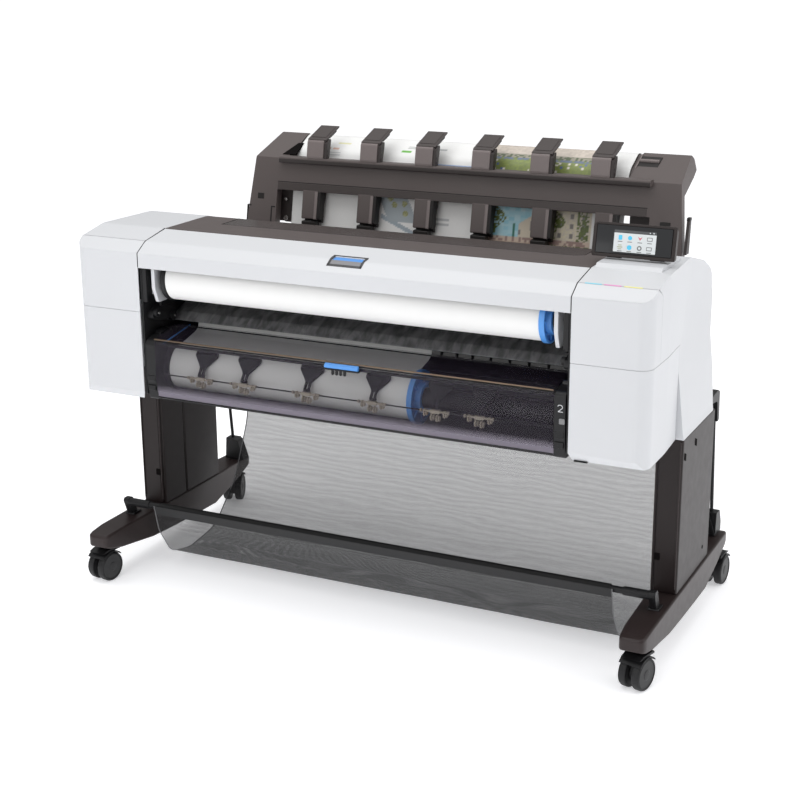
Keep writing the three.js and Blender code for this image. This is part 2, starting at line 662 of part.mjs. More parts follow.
// ---- assembly ---------------------------------------------------------------------------------
const BOTH = ['left', 'right'];
BOTH.forEach(tower);
BOTH.forEach(sideLiner);
BOTH.forEach(inkCartridges);
BOTH.forEach(rollBracket);
inletAndSwitch();
chassis();
carriageParts();
rollCover();
coverLatch();
topWindow();
rearCover();
rollGuide();
paperRoll(1, { ...ROLL_1, hub: 54, boss: 22 }, TOWER_INNER - 14);
paperRoll(2, { ...ROLL_2, hub: 62, boss: 60 }, DRAWER_HALF - 8);
drawerTray();
drawerCover();
drawerHandle();
pinchBar();
stackerFrame();
stackerTray();
printedSheet();
fingers();
controlPanel();
BOTH.forEach(foot);
BOTH.forEach(leg);
crossBrace();
caster('front_left_caster', -CASTER_X, CASTER_FRONT_Y, -8);
caster('front_right_caster', CASTER_X, CASTER_FRONT_Y, -14);
caster('rear_left_caster', -CASTER_X, CASTER_REAR_Y, 200);
caster('rear_right_caster', CASTER_X, CASTER_REAR_Y, 176);
basketRod();
basketRearFrame();
catchBasket();

export default group;
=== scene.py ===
"""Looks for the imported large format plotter: finishes, trim, cloth and paper.

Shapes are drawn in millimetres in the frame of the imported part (+X right, +Y back, +Z up), and
piece() turns them into metres. Finishes, the camera and the lamps are in metres.
"""
import json
import math

import bmesh
import bpy
from mathutils import Matrix, Vector


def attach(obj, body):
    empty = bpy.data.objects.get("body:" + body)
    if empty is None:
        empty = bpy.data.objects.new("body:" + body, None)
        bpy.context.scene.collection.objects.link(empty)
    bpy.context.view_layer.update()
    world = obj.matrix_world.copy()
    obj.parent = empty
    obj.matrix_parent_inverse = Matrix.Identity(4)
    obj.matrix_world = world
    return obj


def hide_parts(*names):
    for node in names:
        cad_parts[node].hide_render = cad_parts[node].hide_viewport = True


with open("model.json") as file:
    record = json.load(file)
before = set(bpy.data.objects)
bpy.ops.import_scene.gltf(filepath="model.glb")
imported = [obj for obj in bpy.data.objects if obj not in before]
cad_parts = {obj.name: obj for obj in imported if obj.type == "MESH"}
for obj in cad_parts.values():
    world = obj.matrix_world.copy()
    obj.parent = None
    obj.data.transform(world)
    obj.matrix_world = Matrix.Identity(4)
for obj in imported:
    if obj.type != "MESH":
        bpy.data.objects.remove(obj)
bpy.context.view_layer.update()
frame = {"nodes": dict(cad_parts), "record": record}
NODES = frame["nodes"]
MM = 0.001
SIDES = (("left", -1), ("right", 1))


# ---- meshes ----

def rounded(points, steps=6):
    """An outline of (a, b) pairs from points (a, b) or (a, b, radius)."""
    path = []
    for i, point in enumerate(points):
        here = Vector(point[:2])
        radius = point[2] if len(point) > 2 else 0
        if not radius:
            path.append(tuple(here))
            continue
        u = (Vector(points[i - 1][:2]) - here).normalized()
        v = (Vector(points[(i + 1) % len(points)][:2]) - here).normalized()
        half = u.angle(v) / 2
        centre = here + (u + v).normalized() * (radius / math.sin(half))
        start = here + u * (radius / math.tan(half)) - centre
        end = here + v * (radius / math.tan(half)) - centre
        sweep = math.atan2(start.x * end.y - start.y * end.x, start.dot(end))
        for k in range(steps + 1):
            path.append(tuple(centre + Matrix.Rotation(sweep * k / steps, 2) @ start))
    return path


def rightward(points, i):
    """Unit vector to the right of a line at one of its points."""
    ahead = (points[min(i + 1, len(points) - 1)] - points[max(i - 1, 0)]).normalized()
    return Vector((ahead.y, -ahead.x))


def strip(line, thickness):
    """A closed outline that follows a line, thickened to its right-hand side."""
    pts = [Vector(p) for p in line]
    inner = [tuple(p + rightward(pts, i) * thickness) for i, p in enumerate(pts)]
    return [tuple(p) for p in pts] + inner[::-1]


PLACE = {
    "X": lambda a, b, d: (d, a, b),
    "Y": lambda a, b, d: (a, d, b),
    "Z": lambda a, b, d: (a, b, d),
}


def prism(bm, outline, axis, start, end):
    """A closed prism along an axis: its outline is in YZ, XZ or XY."""
    rings = [[bm.verts.new(PLACE[axis](a, b, d)) for a, b in outline] for d in (start, end)]
    bm.faces.new(rings[0])
    bm.faces.new(rings[1])
    count = len(outline)
    for i in range(count):
        j = (i + 1) % count
        bm.faces.new((rings[0][i], rings[0][j], rings[1][j], rings[1][i]))
    return rings[0] + rings[1]


def block(bm, low, high):
    return prism(bm, [(low[1], low[2]), (high[1], low[2]), (high[1], high[2]), (low[1], high[2])],
                 "X", low[0], high[0])


def lathe(bm, profile, centre, axis="X", sides=64, closed=False):
    """A turned body: the profile is (radius, distance along the axis) pairs."""
    spin = {"X": (1, 2, 0), "Y": (0, 2, 1), "Z": (0, 1, 2)}[axis]
    made = []
    rings = []
    for radius, distance in profile:
        ring = []
        for k in range(1 if radius < 1e-7 else sides):
            turn = 2 * math.pi * k / sides
            p = [0, 0, 0]
            p[spin[0]] = radius * math.cos(turn)
            p[spin[1]] = radius * math.sin(turn)
            p[spin[2]] = distance
            ring.append(bm.verts.new(Vector(p) + Vector(centre)))
        rings.append(ring)
        made += ring
    pairs = list(zip(rings, rings[1:]))
    if closed:
        pairs.append((rings[-1], rings[0]))
    for a, b in pairs:
        for k in range(sides):
            corners = [a[k % len(a)], a[(k + 1) % len(a)], b[(k + 1) % len(b)], b[k % len(b)]]
            unique = list(dict.fromkeys(corners))
            if len(unique) > 2:
                bm.faces.new(unique)
    return made


def rod(bm, start, end, radius, sides=24):
    """A straight round bar between two points, with closed ends."""
    start, end = Vector(start), Vector(end)
    length = (end - start).length
    turn = (end - start).to_track_quat("Z", "Y").to_matrix().to_4x4()
    made = lathe(bm, [(0, 0), (radius, 0), (radius, length), (0, length)], (0, 0, 0), "Z", sides)
    bmesh.ops.transform(bm, matrix=Matrix.Translation(start) @ turn, verts=made)
    return made


def along_x(bm, points, x0, x1, steps=6):
    return prism(bm, rounded(points, steps), "X", x0, x1)


def along_y(bm, points, y0, y1, steps=6):
    return prism(bm, rounded(points, steps), "Y", y0, y1)


def soften(obj, width, segments=3, angle=28):
    """Rounds the hard edges of a piece and evens out its shading."""
    obj.data.shade_smooth()
    if width:
        bevel = obj.modifiers.new("round_edges", "BEVEL")
        bevel.width = width
        bevel.segments = segments
        bevel.limit_method = "ANGLE"
        bevel.angle_limit = math.radians(angle)
        bevel.use_clamp_overlap = False
        bevel.miter_outer = "MITER_ARC"
    normals = obj.modifiers.new("even_shading", "WEIGHTED_NORMAL")
    normals.keep_sharp = True
    normals.weight = 80


def grid_faces(bm, rows):
    """Faces between neighbouring rows of points."""
    for low, high in zip(rows, rows[1:]):
        for k in range(len(low) - 1):
            bm.faces.new((low[k], low[k + 1], high[k + 1], high[k]))


def piece(name, bm, mats, body="machine", edge=0.6, segments=2):
    """Turns a bmesh in millimetres into a named piece that rides on a CAD body."""
    mats = mats if isinstance(mats, tuple) else (mats,)
    bmesh.ops.recalc_face_normals(bm, faces=bm.faces)
    bmesh.ops.scale(bm, vec=(MM, MM, MM), verts=bm.verts)
    mesh = bpy.data.meshes.new(name)
    bm.to_mesh(mesh)
    bm.free()
    obj = bpy.data.objects.new(name, mesh)
    bpy.context.scene.collection.objects.link(obj)
    for mat in mats:
        mesh.materials.append(mat)
    soften(obj, edge * MM, segments)
    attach(obj, body)
    return obj


# ---- finishes ----

def add_node(mat, kind, inputs=None, **settings):
    made = mat.node_tree.nodes.new("ShaderNode" + kind)
    for key, value in settings.items():
        setattr(made, key, value)
    for key, value in (inputs or {}).items():
        made.inputs[key].default_value = value
    return made


def link(mat, source, target):
    mat.node_tree.links.new(source, target)


def shader_of(mat):
    return mat.node_tree.nodes["Principled BSDF"]


def base(name, color, roughness, **inputs):
    mat = bpy.data.materials.new(name)
    mat.use_nodes = True
    shader = shader_of(mat)
    shader.inputs["Base Color"].default_value = (*color, 1)
    shader.inputs["Roughness"].default_value = roughness
    for key, value in inputs.items():
        shader.inputs[key.replace("_", " ")].default_value = value
    return mat


def own_space(mat):
    return add_node(mat, "TexCoord").outputs["Object"]


def feed(mat, source, kind, socket=0, inputs=None, output=0, **settings):
    """Adds a node that takes a source in one socket, and gives back its output."""
    made = add_node(mat, kind, inputs, **settings)
    link(mat, source, made.inputs[socket])
    return made.outputs[output]


def calc(mat, operation, first, second=None, **settings):
    """A sum on one or two sources; the second may be a plain number."""
    made = add_node(mat, "Math", operation=operation, **settings)
    link(mat, first, made.inputs[0])
    if isinstance(second, float):
        made.inputs[1].default_value = second
    elif second is not None:
        link(mat, second, made.inputs[1])
    return made.outputs[0]


def remap(mat, source, low, high, start=0.0, stop=1.0):
    return feed(mat, source, "MapRange", "Value",
                {"From Min": start, "From Max": stop, "To Min": low, "To Max": high})


def between(mat, factor, low, high):
    """A colour that runs from low to high as a factor goes from 0 to 1."""
    return feed(mat, factor, "Mix", "Factor", {"A": (*low, 1), "B": (*high, 1)}, "Result", data_type="RGBA")


def multiplied(mat, first, second):
    """The product of a colour and a second source; the first may be a plain colour."""
    made = add_node(mat, "Mix", {"Factor": 1.0}, data_type="RGBA", blend_type="MULTIPLY")
    if isinstance(first, tuple):
        made.inputs["A"].default_value = (*first, 1)
    else:
        link(mat, first, made.inputs["A"])
    link(mat, second, made.inputs["B"])
    return made.outputs["Result"]


def scaled(color, share):
    return [min(c * share, 1) for c in color]


def drive(mat, socket, source):
    link(mat, source, shader_of(mat).inputs[socket])


def noise(mat, scale, detail=3.0, stretch=(1, 1, 1)):
    """Noise in the object's own space, in cells of 1/scale metres."""
    place = feed(mat, own_space(mat), "Mapping", "Vector", {"Scale": stretch})
    return feed(mat, place, "TexNoise", "Vector", {"Scale": scale, "Detail": detail, "Roughness": 0.6}, "Fac")


def vary_colour(mat, color, spread, scale, stretch=(1, 1, 1)):
    """Slow drift of the base colour round its mean."""
    drift = noise(mat, scale, 4.0, stretch)
    drive(mat, "Base Color", between(mat, drift, scaled(color, 1 - spread), scaled(color, 1 + spread)))


def vary_roughness(mat, low, high, scale, stretch=(1, 1, 1)):
    drive(mat, "Roughness", remap(mat, noise(mat, scale, 5.0, stretch), low, high))


def bump(mat, height, strength, distance):
    drive(mat, "Normal", feed(mat, height, "Bump", "Height", {"Strength": strength, "Distance": distance}))


def moulded(name, color, roughness, grain=1400, depth=0.00006, spread=0.03, **inputs):
    """Moulded plastic: fine spark-eroded grain and a faint drift of tone."""
    mat = base(name, color, roughness, **inputs)
    vary_colour(mat, color, spread, 5)
    vary_roughness(mat, roughness - 0.05, roughness + 0.07, 9)
    bump(mat, noise(mat, grain, 2.0), 0.35, depth)
    return mat


DULL = 0.28      # specular level of the dark mouldings


def dull(name, color, roughness, **more):
    return moulded(name, color, roughness, Specular_IOR_Level=DULL, **more)


def painted(name, color, roughness):
    """Powder coat: soft orange peel on sheet metal."""
    mat = base(name, color, roughness, Specular_IOR_Level=0.3)
    vary_colour(mat, color, 0.06, 6)
    vary_roughness(mat, roughness - 0.06, roughness + 0.06, 40)
    bump(mat, noise(mat, 420, 2.0), 0.4, 0.00012)
    return mat


def rolled_steel(name, color, roughness):
    mat = base(name, color, roughness, Metallic=1.0)
    vary_colour(mat, color, 0.12, 20, (0.05, 1, 1))
    vary_roughness(mat, roughness - 0.08, roughness + 0.12, 60, (0.02, 1, 1))
    bump(mat, noise(mat, 600, 2.0, (0.03, 1, 1)), 0.3, 0.00004)
    return mat


def paper_finish(name, color):
    mat = base(name, color, 0.6, Specular_IOR_Level=0.3, Sheen_Weight=0.15)
    vary_colour(mat, color, 0.012, 30)
    bump(mat, noise(mat, 900, 4.0), 0.25, 0.00005)
    return mat


def wound_finish(name, color, centre, layer):
    """Paper wound on a core: the layers show as rings on the ends of the roll."""
    mat = paper_finish(name, color)
    offset = feed(mat, own_space(mat), "VectorMath", 0, {1: centre}, operation="SUBTRACT")
    flat = feed(mat, offset, "VectorMath", 0, {1: (0, 1, 1)}, operation="MULTIPLY")
    far = feed(mat, flat, "VectorMath", 0, output="Value", operation="LENGTH")
    ring = calc(mat, "SINE", calc(mat, "MULTIPLY", far, 2 * math.pi / layer))
    drive(mat, "Base Color", multiplied(mat, color, remap(mat, ring, 0.86, 1.0, start=-1.0)))
    return mat


def smoked_finish(name, color, low_color, alpha, low_alpha, clear_above, dense_below):
    """Glossy smoked plastic, paler and denser along its moulded lower edge."""
    mat = base(name, color, 0.08, Alpha=alpha, Specular_IOR_Level=0.4)
    vary_roughness(mat, 0.05, 0.12, 14)
    height = feed(mat, own_space(mat), "SeparateXYZ", "Vector", output="Z")
    rise = remap(mat, height, 0.0, 1.0, dense_below, clear_above)
    drive(mat, "Alpha", remap(mat, rise, low_alpha, alpha))
    drive(mat, "Base Color", between(mat, rise, low_color, color))
    return mat


THREAD_ALPHA = (0.16, 0.9)       # least and most cover of the woven mesh
THREAD_SOFTNESS = 0.75


def mesh_finish(name, color, pitch, hole, ripple):
    """See-through woven mesh: threads across the cloth and along its run."""
    mat = base(name, color, 0.7, Specular_IOR_Level=0.15)
    place = own_space(mat)
    across = feed(mat, place, "SeparateXYZ", "Vector", output="X")
    along = add_node(mat, "Attribute", attribute_name="run").outputs["Fac"]
    threads = [calc(mat, "COSINE", calc(mat, "MULTIPLY", source, 2 * math.pi / pitch))
               for source in (across, along)]
    top = calc(mat, "MAXIMUM", *threads)
    solid = remap(mat, top, *THREAD_ALPHA, hole - THREAD_SOFTNESS, hole + THREAD_SOFTNESS)
    lie = feed(mat, place, "Mapping", "Vector", {"Scale": (0.22, 1.0, 1.0)})
    bands = feed(mat, lie, "TexWave", "Vector",
                 {"Scale": 26.0, "Distortion": 9.0, "Detail": 2.0, "Detail Scale": 0.9}, "Fac",
                 bands_direction="Z")
    drive(mat, "Alpha", calc(mat, "ADD", solid, remap(mat, bands, -ripple, ripple), use_clamp=True))
    bump(mat, top, 0.3, 0.0001)
    drift = noise(mat, 14, 4.0, (1, 3, 3))
    drive(mat, "Base Color", between(mat, drift, scaled(color, 0.75), scaled(color, 1.3)))
    return mat


def guide_finish(name, color):
    """Galvanised plate under dark lacquer, with its cloudy crystal pattern."""
    mat = base(name, color, 0.4, Metallic=0.3)
    place = feed(mat, own_space(mat), "Mapping", "Vector", {"Scale": (1.0, 0.35, 0.35)})
    warp = feed(mat, place, "TexNoise", "Vector", {"Scale": 60.0, "Detail": 8.0, "Distortion": 0.5}, "Fac")
    cloud = remap(mat, warp, 0.0, 1.0, 0.35, 0.68)
    drive(mat, "Base Color", between(mat, cloud, scaled(color, 0.62), scaled(color, 1.6)))
    vary_roughness(mat, 0.25, 0.5, 30)
    return mat


def lamp_finish(name, color, glow):
    """A lit patch of the screen behind its glass."""
    mat = base(name, color, 0.15, Emission_Strength=glow)
    shader_of(mat).inputs["Emission Color"].default_value = (*color, 1)
    vary_roughness(mat, 0.1, 0.2, 40)
    return mat


def ink_finish(name):
    """Coated paper whose ink is carried by the sheet's own points."""
    mat = base(name, (0.83, 0.83, 0.82), 0.42, Specular_IOR_Level=0.4)
    ink = add_node(mat, "Attribute", attribute_name="ink").outputs["Color"]
    grain = remap(mat, noise(mat, 700, 3.0), 0.9, 1.06)
    drive(mat, "Base Color", multiplied(mat, ink, grain))
    bump(mat, noise(mat, 900, 4.0), 0.2, 0.00004)
    return mat


WHITE = moulded("white_moulding", (0.625, 0.635, 0.655), 0.42, spread=0.012)
BROWN = dull("brown_moulding", (0.099, 0.082, 0.079), 0.42, spread=0.05)
BROWN_DARK = dull("dark_brown_moulding", (0.036, 0.029, 0.028), 0.42, spread=0.05)
# BROWN_LIGHT: painted light on the finger fronts and on the guides' side strips. The wing bar also uses it.
BROWN_LIGHT = dull("light_brown_moulding", (0.185, 0.156, 0.152), 0.38, spread=0.05)
TINT = moulded("tinted_window", (0.07, 0.059, 0.057), 0.2, depth=0.00001, Specular_IOR_Level=0.4)
BLACK = dull("black_moulding", (0.011, 0.011, 0.012), 0.4, spread=0.15)
BLACK_GLOSS = dull("gloss_black_moulding", (0.006, 0.006, 0.007), 0.2, depth=0.00001, spread=0.1)
GREY = moulded("grey_moulding", (0.2, 0.2, 0.205), 0.45, spread=0.06)
STAR = moulded("star_wheel_moulding", (0.42, 0.37, 0.30), 0.4, spread=0.15)
BLUE = moulded("blue_moulding", (0.085, 0.30, 0.74), 0.34, spread=0.05)
# A darker blue: painted shade on the floor of the hub recesses.
BLUE_RECESS_SHADE = moulded("blue_recess_shade", (0.055, 0.21, 0.60), 0.36, spread=0.05)
LEG = painted("leg_powder_coat", (0.0125, 0.007, 0.0068), 0.42)
CASTER = dull("caster_tread", (0.015, 0.015, 0.016), 0.5, grain=500, depth=0.0001, spread=0.1)
STEEL = rolled_steel("rolled_steel", (0.5, 0.5, 0.51), 0.35)
BRIGHT = rolled_steel("bright_pin", (0.72, 0.71, 0.69), 0.22)
PAPER = paper_finish("coated_paper", (0.84, 0.84, 0.83))
GLASS = base("screen_glass", (0.006, 0.007, 0.009), 0.05, Specular_IOR_Level=0.22, Coat_Weight=0.05)
vary_roughness(GLASS, 0.04, 0.09, 25)
SMOKE = smoked_finish("smoked_clear_plastic", (0.034, 0.027, 0.042), (0.235, 0.21, 0.262), 0.22, 0.62,
                       0.545, 0.525)
# Painted shade for gaps, pockets and slots.
OPENING_SHADE = moulded("shaded_opening", (0.006, 0.005, 0.005), 0.9, spread=0.2, Specular_IOR_Level=0.05)
GUIDE = guide_finish("mottled_guide_plate", (0.19, 0.19, 0.195))
CLOTH = mesh_finish("basket_mesh", (0.03, 0.03, 0.031), 0.0014, 0.15, 0.02)
BEZEL = dull("panel_bezel", (0.024, 0.017, 0.016), 0.38, spread=0.06)
LAYERS = wound_finish("wound_paper_end", (0.78, 0.78, 0.77), (0, -0.313, 0.793), 0.0022)
LAYERS_LOW = wound_finish("lower_wound_end", (0.78, 0.78, 0.77), (0, -0.288, 0.572), 0.0022)
BRASS = rolled_steel("bronze_rod", (0.17, 0.125, 0.09), 0.35)
FRAME_DARK = moulded("latch_frame", (0.03, 0.03, 0.032), 0.35, spread=0.08)
LIP_GREY = moulded("latch_lip", (0.2, 0.2, 0.215), 0.38, spread=0.06)
SCREEN = lamp_finish("screen_backlight", (0.62, 0.65, 0.66), 0.12)
SCREEN_DARK = lamp_finish("screen_bar", (0.05, 0.055, 0.06), 0.02)
ICON_CYAN = lamp_finish("icon_cyan", (0.05, 0.45, 0.68), 0.25)
ICON_GREY = lamp_finish("icon_grey", (0.16, 0.17, 0.17), 0.05)
ICON_RED = lamp_finish("icon_red", (0.55, 0.10, 0.14), 0.15)
ICON_OLIVE = lamp_finish("icon_olive", (0.40, 0.42, 0.30), 0.1)
STRIPE_INKS = (("cyan", moulded("ink_cyan", (0.25, 0.66, 0.80), 0.4)),
               ("magenta", moulded("ink_magenta", (0.78, 0.30, 0.58), 0.4)),
               ("yellow", moulded("ink_yellow", (0.85, 0.82, 0.30), 0.4)))
HEM = dull("basket_hem_tape", (0.012, 0.012, 0.0125), 0.6, grain=700, depth=0.0003, spread=0.15)
HEM_LIGHT = dull("basket_hem_band", (0.028, 0.028, 0.029), 0.6, grain=700, depth=0.0003, spread=0.12)
CLOTH_EDGE = moulded("basket_edge_tape", (0.16, 0.16, 0.165), 0.7, grain=700, depth=0.0003, spread=0.12)
# BROWN_DEEP: painted shade on the finger top plates. It is also the colour of the beam's lower band.
BROWN_DEEP = dull("deep_brown_moulding", (0.055, 0.045, 0.043), 0.4, spread=0.05)
BROWN_BLACK = dull("shadow_brown_moulding", (0.012, 0.010, 0.0095), 0.45, spread=0.1)
FOOT = painted("foot_powder_coat", (0.027, 0.0185, 0.018), 0.38)
HUB = dull("caster_hub", (0.026, 0.026, 0.027), 0.4, spread=0.1)
PRINT = ink_finish("printed_paper")

SLOT_FINISH = {
    "white_panel": (WHITE, 0.0010), "brown_plastic": (BROWN, 0.0012), "window_tint": (TINT, 0.0008),
    "black_plastic": (BLACK, 0.0008), "leg_paint": (LEG, 0.0014), "blue_plastic": (BLUE, 0.0010),
    "smoked_clear": (SMOKE, 0.0006), "paper_white": (PAPER, 0.0), "steel": (STEEL, 0.0006),
    "guide_grey": (GUIDE, 0.0005), "pinch_grey": (GREY, 0.0006), "mesh_fabric": (CLOTH, 0.0),
    "screen_glass": (GLASS, 0.0003), "caster_black": (CASTER, 0.0012),
}


OWN_FINISH = {"control_panel": BEZEL}      # a node whose finish differs from its slot's


def dress_cad_nodes():
    """Gives every CAD node its slot's finish, softened edges and even shading."""
    for entry in frame["record"]["subparts"]:
        obj = NODES[entry["node"]]
        mat, edge = SLOT_FINISH[entry["material_slot"]]
        obj.data.materials.clear()
        obj.data.materials.append(OWN_FINISH.get(entry["node"], mat))
        weld = obj.modifiers.new("weld", "WELD")
        weld.merge_threshold = 1e-5
        flatten = obj.modifiers.new("flatten", "DECIMATE")
        flatten.decimate_type = "DISSOLVE"
        flatten.angle_limit = math.radians(0.4)
        soften(obj, edge)


# ---- catch basket ----
BASKET_HALF = 606
BASKET_LINE = rounded([
    (-264, 180), (-248, 110, 80), (-198, 32, 60), (-110, 14, 80), (11, 28, 120),
    (122, 129, 160), (198, 280, 200), (222, 478)], 10)


def walk(line, step):
    """Points at even steps along a line, with the distance walked to each."""
    out = [(Vector(line[0]), 0.0)]
    walked = 0.0
    for a, b in zip(line, line[1:]):
        a, b = Vector(a), Vector(b)
        count = max(1, round((b - a).length / step))
        for k in range(1, count + 1):
            out.append((a.lerp(b, k / count), walked + (b - a).length * k / count))
        walked += (b - a).length
    return out


def cloth_grid(bm, half, line, step_x, step_run, ripple):
    """A single sheet over a line in YZ, with soft ripples that die out at its hems."""
    run = bm.verts.layers.float.new("run")
    spots = walk(line, step_run)
    points = [p for p, _ in spots]
    length = spots[-1][1]
    columns = round(2 * half / step_x)
    rows = []
    for i, (p, at) in enumerate(spots):
        hold = math.sin(math.pi * at / length)
        row = []
        for k in range(columns + 1):
            x = -half + 2 * half * k / columns
            wave = ripple * hold * (math.sin(x / 83 + at / 61) + 0.6 * math.sin(x / 37 - at / 45))
            q = p + rightward(points, i) * wave
            vert = bm.verts.new((x, q.x, q.y))
            vert[run] = at * MM
            row.append(vert)
        rows.append(row)
    grid_faces(bm, rows)
    return length


def make_basket():
    """The hung cloth with its sleeves and hems."""
    bm = bmesh.new()
    length = cloth_grid(bm, BASKET_HALF, BASKET_LINE, 14, 10, 0.5)
    cloth = piece("catch_basket_cloth", bm, CLOTH, edge=0)
    cloth.modifiers.clear()
    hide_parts("catch_basket")
    for name, (y, z), radius in (("front", (-249, 174), 10.4), ("rear", (222, 486), 7.6)):
        bm = bmesh.new()
        tube = [(radius - 1.6, -598), (radius, -598), (radius, 598), (radius - 1.6, 598)]
        lathe(bm, tube, (0, y, z), closed=True, sides=24)
        piece(f"basket_sleeve_{name}", bm, HEM, edge=0.3)
    spots = [p for p, at in walk(BASKET_LINE, 6) if at < 24]
    bm = bmesh.new()
    prism(bm, strip(spots, 1.6), "X", -604, 604)
    piece("basket_hem_front", bm, HEM_LIGHT, edge=0.4)
    for side, sign in SIDES:
        bm = bmesh.new()
        spots = [p for p, at in walk(BASKET_LINE, 12)]
        prism(bm, strip(spots, 1.2), "X", sign * (BASKET_HALF - 1.5), sign * (BASKET_HALF + 1))
        piece(f"basket_hem_{side}", bm, CLOTH_EDGE, edge=0.3)


# ---- rolls and paper ----
ROLL_1 = {"y": -313, "z": 793, "radius": 50, "from": -470, "to": 458, "hub": 54}
ROLL_2 = {"y": -288, "z": 572, "radius": 54, "from": -484, "to": 144, "hub": 62}
CORE = 25.4


def make_roll(number, roll, wound):
    """A roll of paper between its blue hub and the fixed rim at its left end."""
    centre = (0, roll["y"], roll["z"])
    radius, x0, x1, hub = roll["radius"], roll["from"], roll["to"], roll["hub"]
    bm = bmesh.new()
    lathe(bm, [(CORE, x0), (radius - 0.8, x0), (radius, x0 + 0.8), (radius, x1 - 0.8),
               (radius - 0.8, x1), (CORE, x1)], centre, closed=True, sides=120)
    bm.normal_update()
    for face in bm.faces:
        face.material_index = int(abs(face.normal.x) > 0.7)
    paper = piece(f"wound_paper_{number}", bm, (PAPER, wound), f"roll_{number}", edge=0)
    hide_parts(f"roll_{number}_paper")
    bm = bmesh.new()
    a = x1 + 0.5
    rim = hub - 5
    lathe(bm, [(CORE - 1, a), (hub, a), (hub + 0.6, a + 2), (hub, a + 12.5), (rim, a + 12.5),
               (rim - 1, a + 8), (36, a + 8), (34, a + 21), (CORE - 1, a + 21)],
          centre, closed=True, sides=96)
    for k in range(8):
        turn = k * math.pi / 4
        spoke = prism(bm, [(-2, 33), (2, 33), (2, rim - 1), (-2, rim - 1)], "X", a + 7, a + 11.5)
        move = Matrix.Translation(centre) @ Matrix.Rotation(turn, 4, "X")
        bmesh.ops.transform(bm, matrix=move, verts=spoke)
    bm.normal_update()
    # Faces on the floor of the hub's recess get the darker blue, as painted shade.
    for face in bm.faces:
        place = face.calc_center_median() - Vector(centre)
        deep = a + 7 < place.x < a + 8.5 and Vector((place.y, place.z)).length < rim - 0.4
        face.material_index = int(deep)
    blue = piece(f"hub_{number}", bm, (BLUE, BLUE_RECESS_SHADE), f"roll_{number}", edge=0.5)
    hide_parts(f"roll_{number}_hub")
    bm = bmesh.new()
    b = x0 - 0.5
    lathe(bm, [(30, b - 13), (hub - 3, b - 13), (hub - 1, b - 11), (hub - 1, b - 2),
               (hub - 3, b), (30, b)], centre, closed=True, sides=96)
    piece(f"fixed_hub_rim_{number}", bm, BLACK, f"roll_{number}", edge=0.6)


WEB_LINE = rounded([(-288, 626.2), (-262, 632, 60), (-226, 641, 16), (-212, 649, 10), (-206, 669)])


def make_web():
    """Paper from the lower roll on its way up, and the black tray it runs over."""
    bm = bmesh.new()
    prism(bm, strip(WEB_LINE, 0.4), "X", -483, 143)
    piece("lower_web", bm, PAPER, "drawer", edge=0)
    bm = bmesh.new()
    under = [(y, z - 1.2) for y, z in WEB_LINE if y > -264]
    prism(bm, strip(under, 3), "X", -497, 497)
    for x in (168, 206, 244, 288, 334, 380, 426, 472):
        block(bm, (x - 1.5, -216, 650), (x + 1.5, -198, 663))
    block(bm, (150, -206.5, 655), (496, -203.5, 667))
    piece("web_tray", bm, BLACK_GLOSS, "drawer", edge=0.5)
    bm = bmesh.new()
    for x in (224, 318, 418):
        block(bm, (x - 13, -201, 662.4), (x + 13, -196.5, 664.2))
    piece("web_tray_tabs", bm, GREY, "drawer", edge=0.3)
    bm = bmesh.new()
    prism(bm, strip([(-227, 655), (-262, 666), (-287, 671.6)], 1.6), "X", -499, 499)
    piece("cover_lid", bm, SMOKE, "drawer", edge=0.3)
    bm = bmesh.new()
    rod(bm, (-495, -343, 639), (-495, -228, 657), 1.8, 12)
    piece("web_guide_edge", bm, BLUE, "drawer", edge=0)


# ---- printed sheet ----
SHEET_X = (-478, 436)
SHEET_LINE = rounded([(243, 800), (278, 985, 60), (298, 1018, 40), (368, 1053, 38),
                      (390, 1040, 12), (391, 950)], 10)


def hashed(*values):
    """A repeatable number from 0 to 1 for any whole-number inputs."""
    mixed = 2166136261
    for value in values:
        mixed = ((mixed ^ (int(value) & 0xFFFF)) * 16777619) & 0xFFFFFFFF
    mixed ^= mixed >> 15
    return ((mixed * 2246822519) & 0xFFFFFFFF) / 4294967296


def patch(x, s, x0, x1, s0, s1):
    return x0 <= x <= x1 and s0 <= s <= s1


WHITE_INK = (0.83, 0.83, 0.82)


PAGE_MARKS = (       # x and s ranges, width of the lines it is ruled in (0 = solid), ink
    (-378, -360, 231, 239, 0, (0.70, 0.45, 0.36)), (-402, -352, 208, 224, 4, (0.50, 0.51, 0.52)),
    (-372, -336, 258, 264, 0, (0.72, 0.70, 0.40)), (-180, -154, 236, 245, 0, (0.13, 0.45, 0.05)),
    (-170, -132, 254, 268, 4, (0.38, 0.40, 0.38)), (-110, -60, 252, 264, 5, (0.42, 0.43, 0.44)),
    (-60, -24, 54, 70, 6, (0.50, 0.51, 0.52)), (-80, 40, 200, 208, 0, (0.20, 0.35, 0.66)),
)


def page_ink(x, s):
    """Left page: a plain sheet with small coloured marks, a green label and grey text bars."""
    if patch(x, s, -402, -382, 232, 240) and hashed(x // 4, s // 4) > 0.35:
        return (0.55, 0.33, 0.22)
    for x0, x1, s0, s1, ruled, ink in PAGE_MARKS:
        if patch(x, s, x0, x1, s0, s1) and (not ruled or (s // ruled) % 2):
            return ink
    return WHITE_INK


def plan_ink(x, s):
    """A grey-blue plan: a leaning plot with olive dots and a band across its foot."""
    lean = x + 0.55 * (s - 60)
    if patch(lean, s, -196, -112, 52, 118):
        for cx, cs in ((-178, 96), (-150, 100), (-146, 76), (-128, 112), (-190, 112)):
            if (x - cx) ** 2 + (s - cs) ** 2 < 60:
                return (0.30, 0.31, 0.13) if hashed(x // 3, s // 3) > 0.3 else (0.44, 0.44, 0.24)
        return (0.40, 0.45, 0.48)
    band = s - (64 - 0.42 * (x + 210))
    if -214 < x < -104 and -6 < band < 6:
        return (0.36, 0.42, 0.47)
    return WHITE_INK


